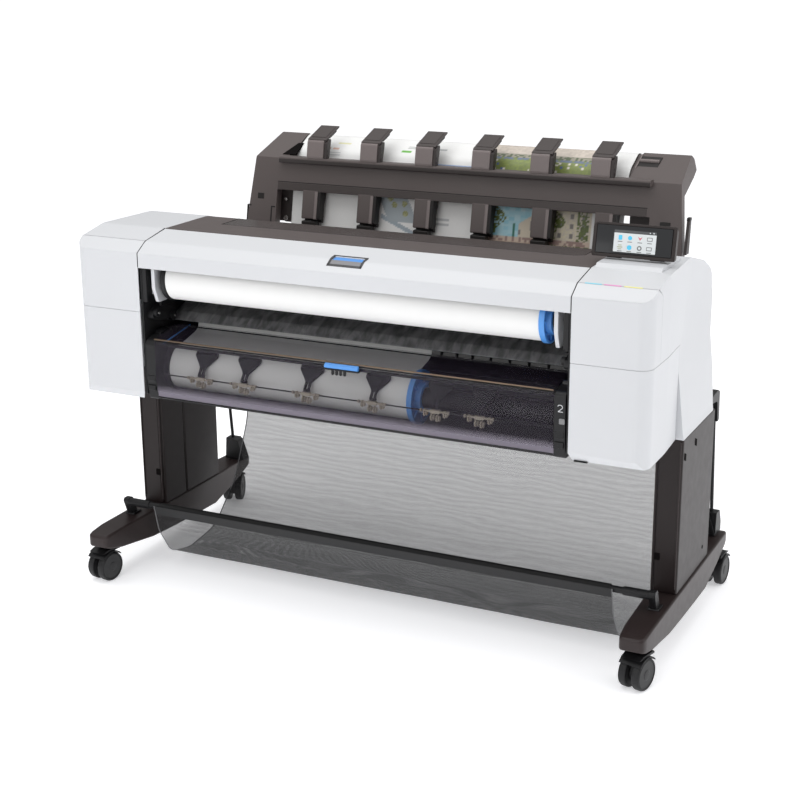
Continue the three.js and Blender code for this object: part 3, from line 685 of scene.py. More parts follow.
def meadow_ink(x, s):
    """Right picture: sky, pale buildings, trees and paving below, and a lawn above."""
    grain = hashed(x // 6, s // 6)
    fine = hashed(x // 4, s // 4, 7)
    if s > 150:
        if s > 262:
            tone = 0.8 + 0.2 * grain
            return (0.62 * tone, 0.55 * tone, 0.48 * tone)
        if s > 246:
            return (0.10, 0.13, 0.07) if grain > 0.5 else (0.32, 0.30, 0.24)
        if s > 236 and grain > 0.3:
            return (0.14, 0.18, 0.26)
        if grain > 0.93:
            return (0.70, 0.66, 0.60)
        if grain > 0.90:
            return (0.10, 0.14, 0.30)
        return (0.17 + 0.06 * fine, 0.21 + 0.07 * fine, 0.07)
    first = x < 232
    left = 84 if first else 240
    tree = patch(x, s, left, left + 34 + 14 * math.sin(s / 11), 44, 128)
    if tree and fine > 0.25:
        return (0.07 + 0.08 * fine, 0.09 + 0.10 * fine, 0.035)
    if s < 30:
        return (0.09, 0.13, 0.04) if (not first and fine > 0.4) else (0.50, 0.38, 0.29)
    if s < 42:
        return (0.30, 0.20, 0.18) if grain > 0.45 else (0.58, 0.47, 0.38)
    if first:
        roof = 56 + 0.7 * max(0, x - 168)
        if x > 166 and s < roof + 18:
            return (0.22, 0.20, 0.19) if hashed(x // 9, s // 12) > 0.8 else (0.60, 0.53, 0.42)
        if patch(x, s, 150, 158, 42, 74):
            return (0.03, 0.16, 0.11)
        cloud = 0.25 + 0.35 * hashed(x // 14, s // 8)
        return (0.12 + cloud * 0.6, 0.46 + cloud * 0.35, 0.60 + cloud * 0.2)
    if patch(x, s, 318, 348, 40, 124) and fine > 0.3:
        return (0.06 + 0.07 * fine, 0.08 + 0.09 * fine, 0.035)
    window = (x // 10) % 3 == 0 and (s // 12) % 2 == 0
    return (0.20, 0.18, 0.17) if window else (0.56 + 0.1 * fine, 0.50 + 0.1 * fine, 0.43)


def sheet_ink(x, s):
    if x < -250 or (x < 62 and s > 130) or (-90 < x < 62):
        return page_ink(x, s)
    if x < -90:
        return plan_ink(x, s)
    if x < 356:
        return meadow_ink(x, s)
    return WHITE_INK


SHEET_COLUMNS = 300
SHEET_THICKNESS = 0.7


def sheet_side(bm, spots, tint, depth):
    """One face of the sheet; only the outer one, at depth 0, is printed."""
    points = [p for p, _ in spots]
    rows = []
    for i, (p, at) in enumerate(spots):
        q = p + rightward(points, i) * depth
        row = []
        for k in range(SHEET_COLUMNS + 1):
            x = SHEET_X[0] + (SHEET_X[1] - SHEET_X[0]) * k / SHEET_COLUMNS
            vert = bm.verts.new((x, q.x, q.y))
            vert[tint] = (*(WHITE_INK if depth else sheet_ink(x, at)), 1)
            row.append(vert)
        rows.append(row)
    return rows


def make_printed_sheet():
    """One sheet with generic graphics, coloured point by point."""
    spots = walk(SHEET_LINE, 3)
    bm = bmesh.new()
    tint = bm.verts.layers.float_color.new("ink")
    front, back = [sheet_side(bm, spots, tint, depth) for depth in (0, SHEET_THICKNESS)]
    grid_faces(bm, front)
    grid_faces(bm, back)
    last, end = len(spots) - 1, SHEET_COLUMNS
    border = ([(r, 0) for r in range(last + 1)] + [(last, k) for k in range(1, end + 1)]
              + [(r, end) for r in range(last - 1, -1, -1)] + [(0, k) for k in range(end - 1, 0, -1)])
    for (r0, k0), (r1, k1) in zip(border, border[1:] + border[:1]):
        bm.faces.new((front[r0][k0], front[r1][k1], back[r1][k1], back[r0][k0]))
    sheet = piece("printed_page", bm, PRINT, edge=0)
    sheet.modifiers.clear()
    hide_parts("printed_sheet")


# ---- drawer trim ----
PINCH_X = (-385, -268, -102, 66, 220, 325)
PINCH_Y = -360
PINCH_Z = 564


def star_wheel(bm, x, y, z, radius, width):
    """A toothed disc across X."""
    teeth = 7
    ring = []
    for k in range(teeth * 4):
        reach = radius if k % 4 < 2 else radius * 0.72
        turn = 2 * math.pi * k / (teeth * 4)
        ring.append((y + reach * math.cos(turn), z + reach * math.sin(turn)))
    prism(bm, ring, "X", x - width / 2, x + width / 2)


ARM_FOOT = Vector((-356.0, 578.0))      # y, z of an arm's fork
ARM_HEAD = Vector((-322.0, 623.0))


def on_arm(bm, outline, low, high):
    """A plate across an arm: the outline is (x, distance up the arm)."""
    up = (ARM_HEAD - ARM_FOOT).normalized()
    out = Vector((-up.y, up.x))
    for vert in prism(bm, outline, "Z", low, high):
        x, rise, proud = vert.co
        q = ARM_FOOT + up * rise + out * proud
        vert.co = (x, q.x, q.y)


def make_pinch_arms():
    """Six black spatula arms that lean on the lower roll, with their star wheels."""
    bm = bmesh.new()
    wheels = bmesh.new()
    for x in PINCH_X:
        on_arm(bm, rounded([(x - 30, 57, 5), (x + 30, 57, 5), (x + 30, 45, 5), (x + 12, 22, 9),
                            (x + 7, 14), (x - 7, 14), (x - 12, 22, 9), (x - 30, 45, 5)]), -2, 3)
        on_arm(bm, rounded([(x - 26, 55, 3), (x + 26, 55, 3), (x + 26, 50, 3), (x - 26, 50, 3)]), 2.5, 5.5)
        on_arm(bm, rounded([(x - 16, 43, 3), (x + 16, 43, 3), (x + 6, 26, 5), (x - 6, 26, 5)]), 2.5, 4)
        for edge in (-7, 2.5):
            on_arm(bm, [(x + edge, -6), (x + edge + 4.5, -6), (x + edge + 4.5, 16), (x + edge, 16)], -3, 4)
        rod(bm, (x - 8, -356, 574), (x + 8, -356, 574), 3.4, 16)
        block(wheels, (x - 11, PINCH_Y - 4, PINCH_Z - 1), (x + 11, PINCH_Y + 5, PINCH_Z + 7))
        block(wheels, (x - 29, PINCH_Y - 2, PINCH_Z + 1), (x + 29, PINCH_Y + 3, PINCH_Z + 5))
        for dx, dz, radius in ((-25, -1, 8.5), (23, -1, 8.5), (-8, -10, 8.5), (5, -12, 8.5)):
            star_wheel(wheels, x + dx, PINCH_Y, PINCH_Z + dz, radius, 3.5)
            star_wheel(wheels, x + dx + 5.5, PINCH_Y, PINCH_Z + dz, radius * 0.8, 2.5)
        for dx in (-34, 32):
            rod(wheels, (x + dx - 2, PINCH_Y, PINCH_Z + 3), (x + dx + 2, PINCH_Y, PINCH_Z + 3), 4, 12)
    rod(bm, (-496, PINCH_Y, PINCH_Z + 3), (496, PINCH_Y, PINCH_Z + 3), 1.7, 12)
    arms = piece("pinch_arms", bm, BLACK, "drawer", edge=0.6)
    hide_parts("pinch_bar")
    piece("star_wheels", wheels, STAR, "drawer", edge=0.3, segments=1)


def make_drawer_trim():
    """Rods, beads, the handle's teeth, a number, a lock and steps on the roll drawer."""
    bm = bmesh.new()
    rod(bm, (-499, -375.4, 655.4), (499, -375.4, 655.4), 1.9, 16)
    piece("cover_crease_rod", bm, BRASS, "drawer", edge=0)
    bm = bmesh.new()
    rod(bm, (-499, -373.8, 650.4), (499, -373.8, 650.4), 1.6, 12)
    rod(bm, (-499, -367.2, 511.5), (499, -367.2, 511.5), 2.6, 12)
    rod(bm, (-498, -287, 670.5), (498, -287, 670.5), 1.6, 12)
    piece("cover_edge_beads", bm, BLACK_GLOSS, "drawer", edge=0)
    bm = bmesh.new()
    for dx in (-24, -14, -4, 6):
        along_y(bm, [(dx, 640, 2), (dx + 6, 640, 2), (dx + 6, 627, 3), (dx, 627, 3)], -383, -379)
    block(bm, (-42, -387, 639.5), (46, -378, 642.5))
    piece("handle_teeth", bm, BLACK, "drawer", edge=0.5)
    digit = [(509, 621), (511, 624), (517, 624), (519.5, 621), (519.5, 618), (510, 609.5), (520.5, 609.5)]
    bm = bmesh.new()
    for (x0, z0), (x1, z1) in zip(digit, digit[1:]):
        rod(bm, (x0, -375.2, z0), (x1, -375.2, z1), 0.9, 8)
    piece("drawer_number", bm, WHITE, "drawer", edge=0)
    bm = bmesh.new()
    along_y(bm, [(513, 583, 2), (525.5, 583, 2), (525.5, 595, 2), (513, 595, 2)], -378, -372)
    piece("drawer_lock", bm, GREY, "drawer", edge=0.6)
    bm = bmesh.new()
    for _, sign in SIDES:
        for z in (528, 552):
            along_x(bm, [(-376, z, 2), (-376, z + 14, 2), (-371, z + 14), (-371, z)],
                    sign * 503, sign * 523)
        along_x(bm, [(-340, 632, 6), (-340, 668, 10), (-306, 672, 10), (-300, 640, 8)],
                sign * 505, sign * 522)
    piece("drawer_end_steps", bm, BLACK_GLOSS, "drawer", edge=0.8)


def make_bay_trim():
    """Black mechanisms on the inner walls of the paper bay."""
    bm = bmesh.new()
    for _, sign in SIDES:
        a, b = sorted((sign * 512, sign * 528))
        along_x(bm, [(-362, 700, 8), (-352, 716, 6), (-268, 742, 10), (-262, 700, 6), (-300, 684, 10)], a, b)
        along_x(bm, [(-330, 724, 4), (-330, 738, 8), (-292, 738, 8), (-292, 724, 4)], sign * 506, sign * 512)
        rod(bm, (sign * 505, -345, 712), (sign * 514, -345, 712), 9, 24)
        rod(bm, (sign * 508, -276, 690), (sign * 520, -276, 690), 12, 24)
        block(bm, (min(sign * 516, sign * 527.5), -372, 742), (max(sign * 516, sign * 527.5), -366, 822))
    piece("bay_mechanisms", bm, BLACK, edge=1.0)
    bm = bmesh.new()
    rod(bm, (-504, -345, 712), (-501, -345, 712), 3, 12)
    rod(bm, (-507, -276, 690), (-504, -276, 690), 3, 12)
    piece("bay_screws", bm, BRIGHT, edge=0.3)


# ---- hood, deck and towers ----
def make_latch():
    """The dark surround of the hood's blue latch, and the grey lip inside it."""
    line = [(-361.5, 869.6), (-345, 880.2), (-339, 882.6), (-322.5, 885.8)]
    bm = bmesh.new()
    for x0, x1 in ((-43, -37.6), (37.6, 43)):
        prism(bm, strip([(y, z + 0.7) for y, z in line], 2.2), "X", x0, x1)
    for a, b in ((0, 0.16), (0.93, 1.0)):
        spots = [Vector(line[0]).lerp(Vector(line[1]), t * 2.4) if t < 0.42 else
                 Vector(line[2]).lerp(Vector(line[3]), (t - 0.42) / 0.58) for t in (a, b)]
        prism(bm, strip([(p.x, p.y + 0.7) for p in spots], 2.2), "X", -43, 43)
    piece("latch_surround", bm, FRAME_DARK, "cover", edge=0.4)
    bm = bmesh.new()
    prism(bm, strip([(-358.5, 872.2), (-345.5, 880.7)], 1.4), "X", -37, 37)
    piece("latch_lip", bm, LIP_GREY, "latch", edge=0.5)


def make_hood_seams():
    """Dark lines of painted shade in the gaps where the hood meets the towers."""
    line = [(-378.4, 826), (-378.4, 859), (-343.2, 881.4), (-260, 897.4)]
    bm = bmesh.new()
    for _, sign in SIDES:
        a, b = sorted((sign * 532.7, sign * 533.8))
        prism(bm, strip(line, 3), "X", a, b)
    piece("hood_seams", bm, OPENING_SHADE, edge=0)


def make_window_gap():
    """Dark strips of painted shade in the gap along the front and left edges of the deck window."""
    bm = bmesh.new()
    block(bm, (-440.3, -157.3, 892), (466, -155.3, 896.1))
    block(bm, (-440.3, -155.3, 892), (-438.3, -74, 896.1))
    piece("window_gap_shade", bm, BROWN_BLACK, edge=0)


def make_tower_marks():
    """Three soft ink-coloured stripes on the right tower, and its small louvres."""
    for (name, ink), (x0, x1) in zip(STRIPE_INKS, ((549, 585), (590, 627), (633, 672))):
        bm = bmesh.new()
        prism(bm, strip([(-342.4, 881.6), (-340.5, 882.2), (-338.6, 882.7)], 0.5), "X", x0, x1)
        piece(f"stripe_{name}", bm, ink, edge=0)
    bm = bmesh.new()
    along_x(bm, [(-373, 503.2), (-373, 506), (-366, 506), (-366, 503.2)], 546, 576)
    piece("sill_slot", bm, BLACK_GLOSS, edge=0)
    bm = bmesh.new()
    for k in range(4):
        y = -196 + 16 * k
        slat = [(y, 904.6), (y + 6, 904.6), (y + 6, 905.5, 0.5), (y, 905.5, 0.5)]
        along_x(bm, slat, 662 + 2 * k, 676 + 2 * k)
    piece("plinth_louvres", bm, LIP_GREY, edge=0.2)


# ---- control panel ----
PANEL_LOW = Vector((-204.1, 916.2))     # y, z of the glass at its lower edge
PANEL_HIGH = Vector((-191.8, 977.0))
PANEL_UP = (PANEL_HIGH - PANEL_LOW).normalized()
PANEL_OUT = Vector((-PANEL_UP.y, PANEL_UP.x))


def on_panel(bm, outline, lift, thick):
    """A thin prism on the glass: the outline is (x, distance up the panel)."""
    for vert in prism(bm, outline, "Z", lift, lift + thick):
        x, up, out = vert.co
        q = PANEL_LOW + PANEL_UP * up + PANEL_OUT * out
        vert.co = (x, q.x, q.y)


def disc(x, up, radius, sides=20):
    return [(x + radius * math.cos(2 * math.pi * k / sides),
             up + radius * math.sin(2 * math.pi * k / sides)) for k in range(sides)]


def box_outline(x, up, half_x, half_up, radius=1.0):
    return rounded([(x - half_x, up - half_up, radius), (x + half_x, up - half_up, radius),
                    (x + half_x, up + half_up, radius), (x - half_x, up + half_up, radius)], 3)


SCREEN_X = 607.5


ICON_COLUMNS = [SCREEN_X + step for step in (-32, -11, 11, 32)]
ICON_ROWS = (37, 17)
BAR_UP = 50.2        # distance up the panel of the screen's status bar


def icon_shapes():
    """Generic icons: a finish and its outlines for each piece."""
    a, b, c, d = ICON_COLUMNS
    top, low = ICON_ROWS
    labels = [box_outline(x, up - 8.4, 5, 0.8, 0.3) for x in ICON_COLUMNS for up in ICON_ROWS]
    return {
        "icon_cyan": (ICON_CYAN, [box_outline(a, top, 4, 5, 1.5), disc(b, top, 4.6), disc(b, low, 5.2)]),
        "icon_red": (ICON_RED, [[(c - 5, top + 4), (c, top - 4), (c + 5, top + 4), (c, top + 1)]]),
        "icon_olive": (ICON_OLIVE, [box_outline(a, low, 6, 1.2, 0.5), box_outline(a, low + 4, 4, 1, 0.5),
                                    box_outline(a, low - 4, 4, 1, 0.5)]),
        "icon_grey": (ICON_GREY, [box_outline(d, top, 6, 4, 1.2), disc(c, low, 5.2),
                                  box_outline(d, low, 6, 4, 1), *labels]),
        "icon_light": (SCREEN, [box_outline(d, top, 4.6, 2.6, 0.8), disc(c, low, 2.6),
                                box_outline(d, low, 4.6, 2.6, 0.6), disc(SCREEN_X + 40, BAR_UP, 1.5),
                                disc(SCREEN_X + 32, BAR_UP, 1.2)]),
    }


def make_panel():
    """The lit page behind the panel's glass, its icons, and the panel's hinge covers."""
    bm = bmesh.new()
    on_panel(bm, box_outline(SCREEN_X, 26.6, 46, 20, 1), 0.9, 0.25)
    piece("screen_page", bm, SCREEN, "panel", edge=0)
    bm = bmesh.new()
    on_panel(bm, box_outline(SCREEN_X, BAR_UP, 46, 2.4, 0.8), 0.9, 0.25)
    piece("screen_bar", bm, SCREEN_DARK, "panel", edge=0)
    for name, (mat, outlines) in icon_shapes().items():
        bm = bmesh.new()
        for outline in outlines:
            on_panel(bm, outline, 1.15 + (0.2 if name == "icon_light" else 0), 0.2)
        piece(name, bm, mat, "panel", edge=0)
    bm = bmesh.new()
    for a, b in ((545, 578), (640, 672)):
        along_x(bm, [(-206, 898.6), (-206, 900.4), (-192, 901.4), (-188, 898.6)], a, b)
    piece("panel_hinge_covers", bm, LIP_GREY, edge=0.6)


# ---- stacker ----
STACKER_FACE = ((209, 790), (216, 835), (247, 999))
GUIDE_X = (-407, -245, -84, 74, 234, 396)


def face_y(z):
    """Front face of the stacker at a height."""
    low, high = (STACKER_FACE[0], STACKER_FACE[1]) if z < STACKER_FACE[1][1] else STACKER_FACE[1:]
    return low[0] + (high[0] - low[0]) * (z - low[1]) / (high[1] - low[1])


def on_face(bm, x0, x1, z0, z1, proud, deep=3.0, radius=0):
    """A plate on the leaning front face of the stacker."""
    corners = [(x0, z0), (x1, z0), (x1, z1), (x0, z1)]
    outline = rounded([(*corner, radius) for corner in corners], 4)
    for vert in prism(bm, outline, "Y", -proud, deep):
        vert.co.y += face_y(vert.co.z)


def make_finger(index, x):
    """One stacker finger: its front, its top plate and its side flange. The front's lighter brown is painted
    light and the top plate's darker brown is painted shade, both on one brown moulding.
    """
    body = f"finger_{index}"
    bm = bmesh.new()
    along_x(bm, [(230, 1003, 3), (229.5, 1010, 5), (236, 1047, 10), (241, 1053, 4), (247, 1049, 3),
                 (240, 1008, 4), (238, 1003, 2)], x - 29, x + 19)
    # Lighter brown on the front: painted light.
    front = piece(f"finger_front_{index}", bm, BROWN_LIGHT, body, edge=1.6, segments=3)
    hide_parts(f"stacker_finger_{index}")
    bm = bmesh.new()
    prism(bm, strip([(239, 1052.5), (242, 1054.6), (313.5, 1080.5)], 4.2), "X", x - 29, x + 25)
    prism(bm, strip([(250, 1058.6), (304, 1078.2)], 1.2), "X", x - 23, x + 19)
    # Darker brown on the top plate: painted shade.
    piece(f"finger_plate_{index}", bm, BROWN_DEEP, body, edge=0.9)
    bm = bmesh.new()
    along_x(bm, [(231, 1002, 3), (238, 1044, 8), (250, 1054, 6), (262, 1054, 4), (258, 1036, 6),
                 (250, 1010, 6), (246, 1001, 3)], x + 19.4, x + 28)
    along_x(bm, [(262, 1054), (300, 1066.5, 2), (300, 1072), (258, 1057)], x + 19.4, x + 24)
    for y, z in ((239, 1013), (241, 1024)):
        rod(bm, (x + 27.6, y, z), (x + 29, y, z), 2.4, 16)
    piece(f"finger_flange_{index}", bm, BROWN_DARK, body, edge=0.9)


WING_LEAN = (1050 - 999) / (371 - 247)


def make_guides(dark):
    """Side strips of the six paper guides in a lighter brown, painted light, with their flanks and feet in
    dark brown as painted shade.
    """
    light = bmesh.new()
    for x in GUIDE_X:
        along_x(light, [(213.6, 848, 2), (227.8, 918), (236, 918), (224, 846, 3)], x + 14, x + 22.6, 3)
        # Dark flanks and feet: painted shade, built into the stacker's shadow trim.
        along_x(dark, [(214, 848, 4), (228, 918), (262, 918, 3), (246, 880, 20), (240, 846, 6)],
                x + 23, x + 31, 4)
        along_x(dark, [(210.6, 813.5, 2), (212.8, 842.4, 3), (235.2, 842.4, 3), (233.4, 813.5)],
                x - 20, x + 20, 3)
        along_x(dark, [(231, 842, 2), (236, 846, 2), (246, 846, 3), (244, 834, 2)], x - 21, x + 28, 3)
    piece("guide_side_strips", light, BROWN_LIGHT, edge=0.8)


def make_face_shadows(dark):
    """Recesses and grooves on the front of the stacker."""
    for x0, x1, z0, z1 in ((-566, -547, 890, 905), (-596.5, -592.5, 829, 873), (-596.5, -584, 870, 873.5),
                           (-524, -520, 829, 873), (-524, -511, 870, 873.5)):
        on_face(dark, x0, x1, z0, z1, 0.4)
    on_face(dark, 535, 560, 900, 909, 2.5, radius=2)
    on_face(dark, -507, 501, 937, 939, 0.5)
    prism(dark, strip([(309, 1024.6), (350, 1043.4)], 2.5), "X", 449, 500)
    for y, x0, z in ((222, -504, 870), (236, -500, 905)):
        outline = [(y + 40, z - 45, 5), (y + 44, z, 4), (y + 52, z, 4), (y + 52, z - 45, 4)]
        along_x(dark, outline, x0 - 2, x0 + 60)
    piece("stacker_shadow_trim", dark, BROWN_BLACK, edge=0.4)


def make_wings():
    """The bead and band of the beam, and the pocket and bar of its wings."""
    bm = bmesh.new()
    along_x(bm, [(228.3, 988.4, 3), (228.3, 1001, 3), (232, 1001), (232, 988.4)], -499, 507, 3)
    piece("stacker_bead", bm, BROWN_DARK, edge=0.5)
    bm = bmesh.new()
    for vert in prism(bm, [(-506, 262), (-468, 262), (-472, 318), (-488, 318)], "Z", -2, 1.2):
        x, y, lift = vert.co
        vert.co = (x, y - lift * WING_LEAN, 1005.3 + (y - 262) * WING_LEAN + lift)
    # The wing's pocket is a dark plate of painted shade.
    piece("wing_pocket", bm, OPENING_SHADE, edge=0.2)
    bm = bmesh.new()
    on_face(bm, -507, 500, 918.5, 936, 0.6)
    piece("beam_lower_band", bm, BROWN_DEEP, edge=0.5)
    bm = bmesh.new()
    along_x(bm, [(300, 1021), (304, 1025), (358, 1048), (356, 1042)], 446, 449)
    rod(bm, (450, 330, 1035), (498, 330, 1035), 5, 20)
    piece("wing_bar", bm, BROWN_LIGHT, edge=0.4)


def make_posts():
    """Posts behind the stacker, their caps, and the screws of the left one."""
    bm = bmesh.new()
    rod(bm, (-497, 256, 888), (-497, 261, 888), 4, 20)
    rod(bm, (-497, 252, 838), (-497, 259, 838), 6, 20)
    piece("post_screws", bm, BRIGHT, edge=0.4)
    posts, caps = bmesh.new(), bmesh.new()
    along_x(posts, [(212, 838), (231, 916), (246, 916, 3), (236, 838)], 599, 606)
    along_x(caps, [(230, 915, 2), (231, 923, 3), (247, 923, 3), (247, 915, 2)], 598.5, 606.5)
    for x0, x1 in ((-525, -478), (448, 510)):
        along_x(posts, [(262, 828), (268, 828), (276, 926), (270, 926)], x0, x1)
    piece("rear_posts", posts, BROWN_DARK, edge=0.6)
    piece("rear_post_caps", caps, BROWN_BLACK, edge=0.8)


FINGER_PITCH = 155


def make_stacker_trim():
    for i in range(6):
        make_finger(i + 1, (i - 2.5) * FINGER_PITCH)
    # Pieces of painted shade on the stacker, gathered into one piece.
    dark = bmesh.new()
    make_guides(dark)
    make_face_shadows(dark)
    make_wings()
    make_posts()


# ---- stand ----
FOOT_OUTER = 724
FOOT_TOP = 137


def foot_section(y, inner, outer, bottom, top, edge):
    """A rounded rectangle across the foot at y, as a ring of points."""
    corners = ((outer, top, 0), (inner, top, 90), (inner, bottom, 180), (outer, bottom, 270))
    ring = []
    for x, z, start in corners:
        cx = x - math.copysign(edge, x - (inner + outer) / 2)
        cz = z - math.copysign(edge, z - (bottom + top) / 2)
        for k in range(5):
            turn = math.radians(start + 22.5 * k)
            ring.append((cx + edge * math.cos(turn), y, cz + edge * math.sin(turn)))
    return ring


def foot_stations():
    """Where the foot is drawn across: y, inner x, outer x, bottom, top."""
    tip = ((-392, 676, 708, 104, 124), (-390.5, 668, 715, 101, 128.5), (-385, 664, 720, 98, 131.5),
           (-372, 662, 722.5, 93, 133.5))
    middle = ((-200, 655, 65.5), (-86, 653, 60.3), (20, 653, 57), (96, 653, 55.3), (200, 656, 81))
    body = [(-330, 659, FOOT_OUTER, 84, 136.5)]
    body += [(y, inner, FOOT_OUTER, bottom, FOOT_TOP) for y, inner, bottom in middle]
    tail = ((278, 661, 722.5, 101, 135), (294, 665, 720, 104, 132.5), (300, 669, 716, 106, 129),
            (301.8, 677, 708, 109, 125))
    return [*tip, *body, *tail]


def make_feet():
    """Rounded shells over the feet, and the shoes of the rear struts."""
    for side, sign in SIDES:
        bm = bmesh.new()
        rings = []
        for y, inner, outer, bottom, top in foot_stations():
            edge = 5 if -340 < y < 240 else 6
            ring = foot_section(y, inner, outer, bottom, top, edge)
            rings.append([bm.verts.new((sign * x, yy, z)) for x, yy, z in ring])
        for a, b in zip(rings, rings[1:]):
            for k in range(len(a)):
                bm.faces.new((a[k], a[(k + 1) % len(a)], b[(k + 1) % len(b)], b[k]))
        bm.faces.new(rings[0])
        bm.faces.new(rings[-1])
        foot = piece(f"{side}_foot_shell", bm, FOOT, edge=0)
        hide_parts(f"{side}_foot")
        bm = bmesh.new()
        outline = [(645, 138), (651, 156, 4), (664, 194, 6), (686, 198, 6), (700, 160, 8), (706, 138)]
        along_y(bm, [(sign * point[0], *point[1:]) for point in outline], 233, 264)
        piece(f"{side}_strut_shoe", bm, BLACK, edge=1.0)


CASTERS = (("front_left", -700, -334, -8), ("front_right", 700, -334, -14),
           ("rear_left", -700, 258, 200), ("rear_right", 700, 258, 176))
WHEEL_RADIUS = 37.5
AXLE_HEIGHT = 37.18
TRAIL = 18
HOOD_ARC = [math.radians(40 + 9 * k) for k in range(12)]


def make_casters():
    """Twin wheels with a rubber tread, a dished hub and a capped axle."""
    for name, x, y, degrees in CASTERS:
        turn = math.radians(degrees)
        axle = Vector((x, y, AXLE_HEIGHT)) + Matrix.Rotation(turn, 3, "Z") @ Vector((0, -TRAIL, 0))
        bm = bmesh.new()
        made = []
        for sign in (-1, 1):
            w0, w1 = sign * 7.2, sign * 26.8
            made += lathe(bm, [
                (6, w0), (30, w0), (WHEEL_RADIUS - 1.5, w0 + sign * 0.6), (WHEEL_RADIUS, w0 + sign * 3),
                (WHEEL_RADIUS, w1 - sign * 5), (WHEEL_RADIUS - 1.6, w1 - sign * 1.5),
                (WHEEL_RADIUS - 5, w1), (31.5, w1), (30.5, w1 - sign * 1.6), (12, w1 - sign * 1.2),
                (10.5, w1 - sign * 0.2), (6, w1)], (0, 0, 0), closed=True, sides=72)
        made += rod(bm, (-26.9, 0, 0), (26.9, 0, 0), 6.6, 24)
        place = Matrix.Translation(axle) @ Matrix.Rotation(turn, 4, "Z")
        bmesh.ops.transform(bm, matrix=place, verts=made)
        bm.normal_update()
        local = place.inverted()
        for face in bm.faces:
            spot = local @ face.calc_center_median()
            face.material_index = int(Vector((spot.y, spot.z)).length < 30)
        tyres = piece(f"{name}_twin_wheels", bm, (CASTER, HUB), f"{name}_wheels", edge=0.5)
        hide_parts(f"{name}_caster_wheels")
        bm = bmesh.new()
        arc = [(39.3 * math.cos(t), 39.3 * math.sin(t)) for t in HOOD_ARC]
        made = prism(bm, strip(arc[::-1], -2.4), "X", -28, 28)
        made += prism(bm, [(-4, 0), (4, 0), (6, 39.5), (-6, 39.5)], "X", -5.4, 5.4)
        bmesh.ops.transform(bm, matrix=place, verts=made)
        piece(f"{name}_caster_hood", bm, BLACK, f"{name}_swivel", edge=0.8)


def make_leg_trim():
    """Pressed ribs, slots and screws on the legs."""
    dark, light = bmesh.new(), bmesh.new()
    for _, sign in SIDES:
        rod(light, (sign * 660, -146.2, 150), (sign * 660, -146.2, 498), 1.7, 12)
        rod(light, (sign * 714, -146.2, 150), (sign * 714, -146.2, 498), 1.7, 12)
        opening = [(664, 215), (677, 215), (677, 232), (664, 232)]
        along_y(dark, [(sign * x, z, 2) for x, z in opening], -146, -144.6)
        for y, z in ((-128, 462), (-43, 471)):
            along_x(dark, [(y - 7, z + 11, 2), (y + 8, z + 4, 2), (y + 8, z - 13, 2), (y - 7, z - 6, 2)],
                    *sorted((sign * 718, sign * 719.7)))
        rod(dark, (sign * 718, 65, 176), (sign * 719.6, 65, 176), 4.5, 24)
    # The slots and the round one lower down are dark plates of painted shade.
    piece("leg_slots", dark, OPENING_SHADE, edge=0.2)
    piece("leg_ribs", light, FOOT, edge=0)


REAR_FACE = 149.4
VENT_X = 610


def make_rear_trim():
    """Vents, screws and a service hatch on the back."""
    dark, light = bmesh.new(), bmesh.new()
    for _, sign in SIDES:
        x0, x1 = sign * VENT_X - 42, sign * VENT_X + 42
        for row in range(8):
            z = 640 + 9 * row
            slot = [(x0, z, 1.5), (x1, z, 1.5), (x1, z + 4, 1.5), (x0, z + 4, 1.5)]
            along_y(dark, slot, REAR_FACE, 150.6)
        for z in (540, 830):
            for x in (sign * 652, sign * 556):
                rod(dark, (x, REAR_FACE, z), (x, 151, z), 4.5, 24)
    for x in range(-450, 451, 150):
        rod(dark, (x, REAR_FACE, 530), (x, 151, 530), 4, 20)
    along_y(light, [(-300, 590, 10), (300, 590, 10), (300, 720, 10), (-300, 720, 10)], REAR_FACE, 151.2)
    along_y(dark, [(-40, 704, 4), (40, 704, 4), (40, 712, 4), (-40, 712, 4)], 151.0, 151.8)
    piece("rear_vents", dark, BLACK, edge=0.3)
    piece("rear_hatch", light, WHITE, edge=0.8)


# ---- stage ----

def make_camera():
    """The view from the front right, a little above the deck."""
    azimuth, elevation, roll = (math.radians(a) for a in (25.89, 17.11, -0.38))
    back = Vector((math.sin(azimuth) * math.cos(elevation),
                   -math.cos(azimuth) * math.cos(elevation), math.sin(elevation)))
    right = Vector((math.cos(azimuth), math.sin(azimuth), 0))
    turn = Matrix((right, back.cross(right), back)).transposed() @ Matrix.Rotation(roll, 3, "Z")
    data = bpy.data.cameras.new("camera")
    data.sensor_width = 36
    data.lens = 70.38
    camera = bpy.data.objects.new("camera", data)
    bpy.context.scene.collection.objects.link(camera)
    camera.matrix_world = Matrix.Translation((1.575, -3.327, 1.598)) @ turn.to_4x4()
    bpy.context.scene.camera = camera


def make_lamp(name, place, target, size, power):
    """A square white lamp that faces its target."""
    data = bpy.data.lights.new(name, "AREA")
    data.shape = "SQUARE"
    data.size = size
    data.energy = power
    lamp = bpy.data.objects.new(name, data)
    bpy.context.scene.collection.objects.link(lamp)
    lamp.location = place
    lamp.rotation_euler = (Vector(target) - Vector(place)).to_track_quat("-Z", "Y").to_euler()


FLOOR_SIZE = 120
FLOOR_GLOW = 0.44


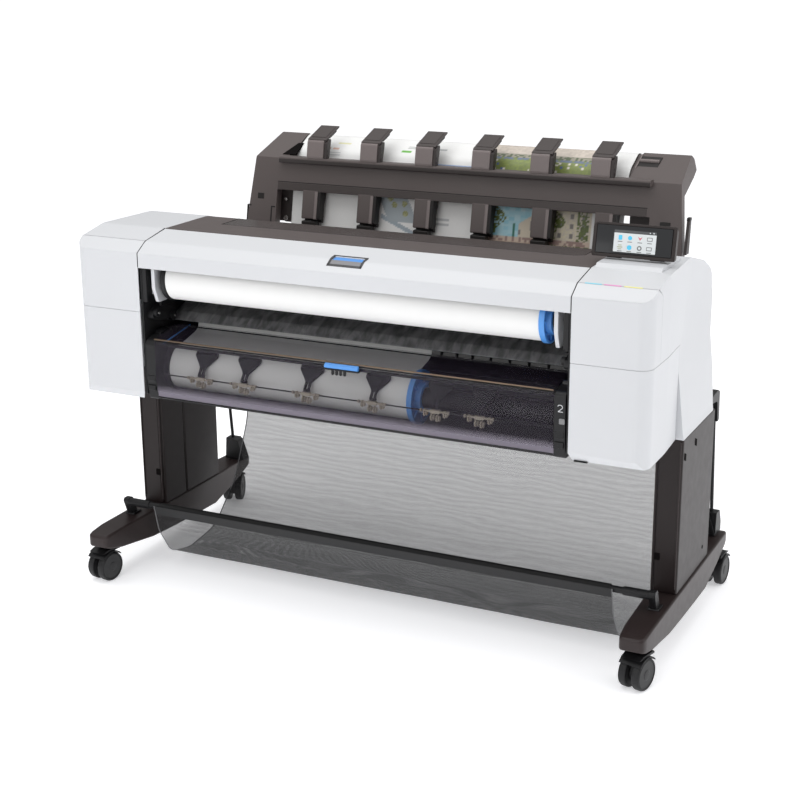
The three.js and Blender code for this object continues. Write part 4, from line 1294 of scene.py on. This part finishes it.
def make_floor():
    """A wide pale floor with a glow of its own, which keeps the shadows light."""
    bm = bmesh.new()
    bmesh.ops.create_grid(bm, x_segments=1, y_segments=1, size=FLOOR_SIZE)
    mesh = bpy.data.meshes.new("floor")
    bm.to_mesh(mesh)
    bm.free()
    floor = bpy.data.objects.new("floor", mesh)
    bpy.context.scene.collection.objects.link(floor)
    pale = base("pale_floor", (0.93, 0.93, 0.94), 0.9, Specular_IOR_Level=0.1, Emission_Strength=FLOOR_GLOW)
    shader_of(pale).inputs["Emission Color"].default_value = (0.97, 0.975, 1, 1)
    mesh.materials.append(pale)


# Brightness of the sky against the upward part of the direction: a pale horizon,
# a dark band that keeps the blacks black, and a bright top.
SKY_LEVELS = ((0, 0.95), (0.05, 0.95), (0.1, 0.14), (0.3, 0.14), (0.7, 0.88))


def make_sky():
    world = bpy.data.worlds.new("studio")
    world.use_nodes = True
    sky = world.node_tree
    place = sky.nodes.new("ShaderNodeTexCoord")
    split = sky.nodes.new("ShaderNodeSeparateXYZ")
    rise = sky.nodes.new("ShaderNodeValToRGB")
    stops = rise.color_ramp.elements
    for at, _ in SKY_LEVELS[1:-1]:
        stops.new(at)
    for stop, (at, level) in zip(stops, SKY_LEVELS):
        stop.position = at
        stop.color = (level, level, level, 1)
    sky.links.new(place.outputs["Generated"], split.inputs["Vector"])
    sky.links.new(split.outputs["Z"], rise.inputs["Fac"])
    sky.links.new(rise.outputs["Color"], sky.nodes["Background"].inputs["Color"])
    bpy.context.scene.world = world


def make_stage():
    make_floor()
    make_sky()
    bpy.context.scene.view_settings.view_transform = "Standard"
    make_lamp("key_right", (3.8, 0.4, 1.9), (0, 0, 0.5), 2.2, 30)
    make_lamp("front_fill", (-0.9, -3.9, 2.3), (0, 0, 0.6), 2.2, 27)
    make_lamp("bay_fill", (-0.5, -2.2, 0.95), (-0.1, -0.2, 0.7), 0.8, 3)
    make_lamp("top", (-0.2, -0.4, 4.0), (0, 0, 0.5), 3.0, 56)


make_camera()
make_stage()
dress_cad_nodes()
make_basket()
make_roll(1, ROLL_1, LAYERS)
make_roll(2, ROLL_2, LAYERS_LOW)
make_web()
make_printed_sheet()
make_pinch_arms()
make_drawer_trim()
make_bay_trim()
make_latch()
make_hood_seams()
make_window_gap()
make_tower_marks()
make_panel()
make_stacker_trim()
make_feet()
make_casters()
make_leg_trim()
make_rear_trim()
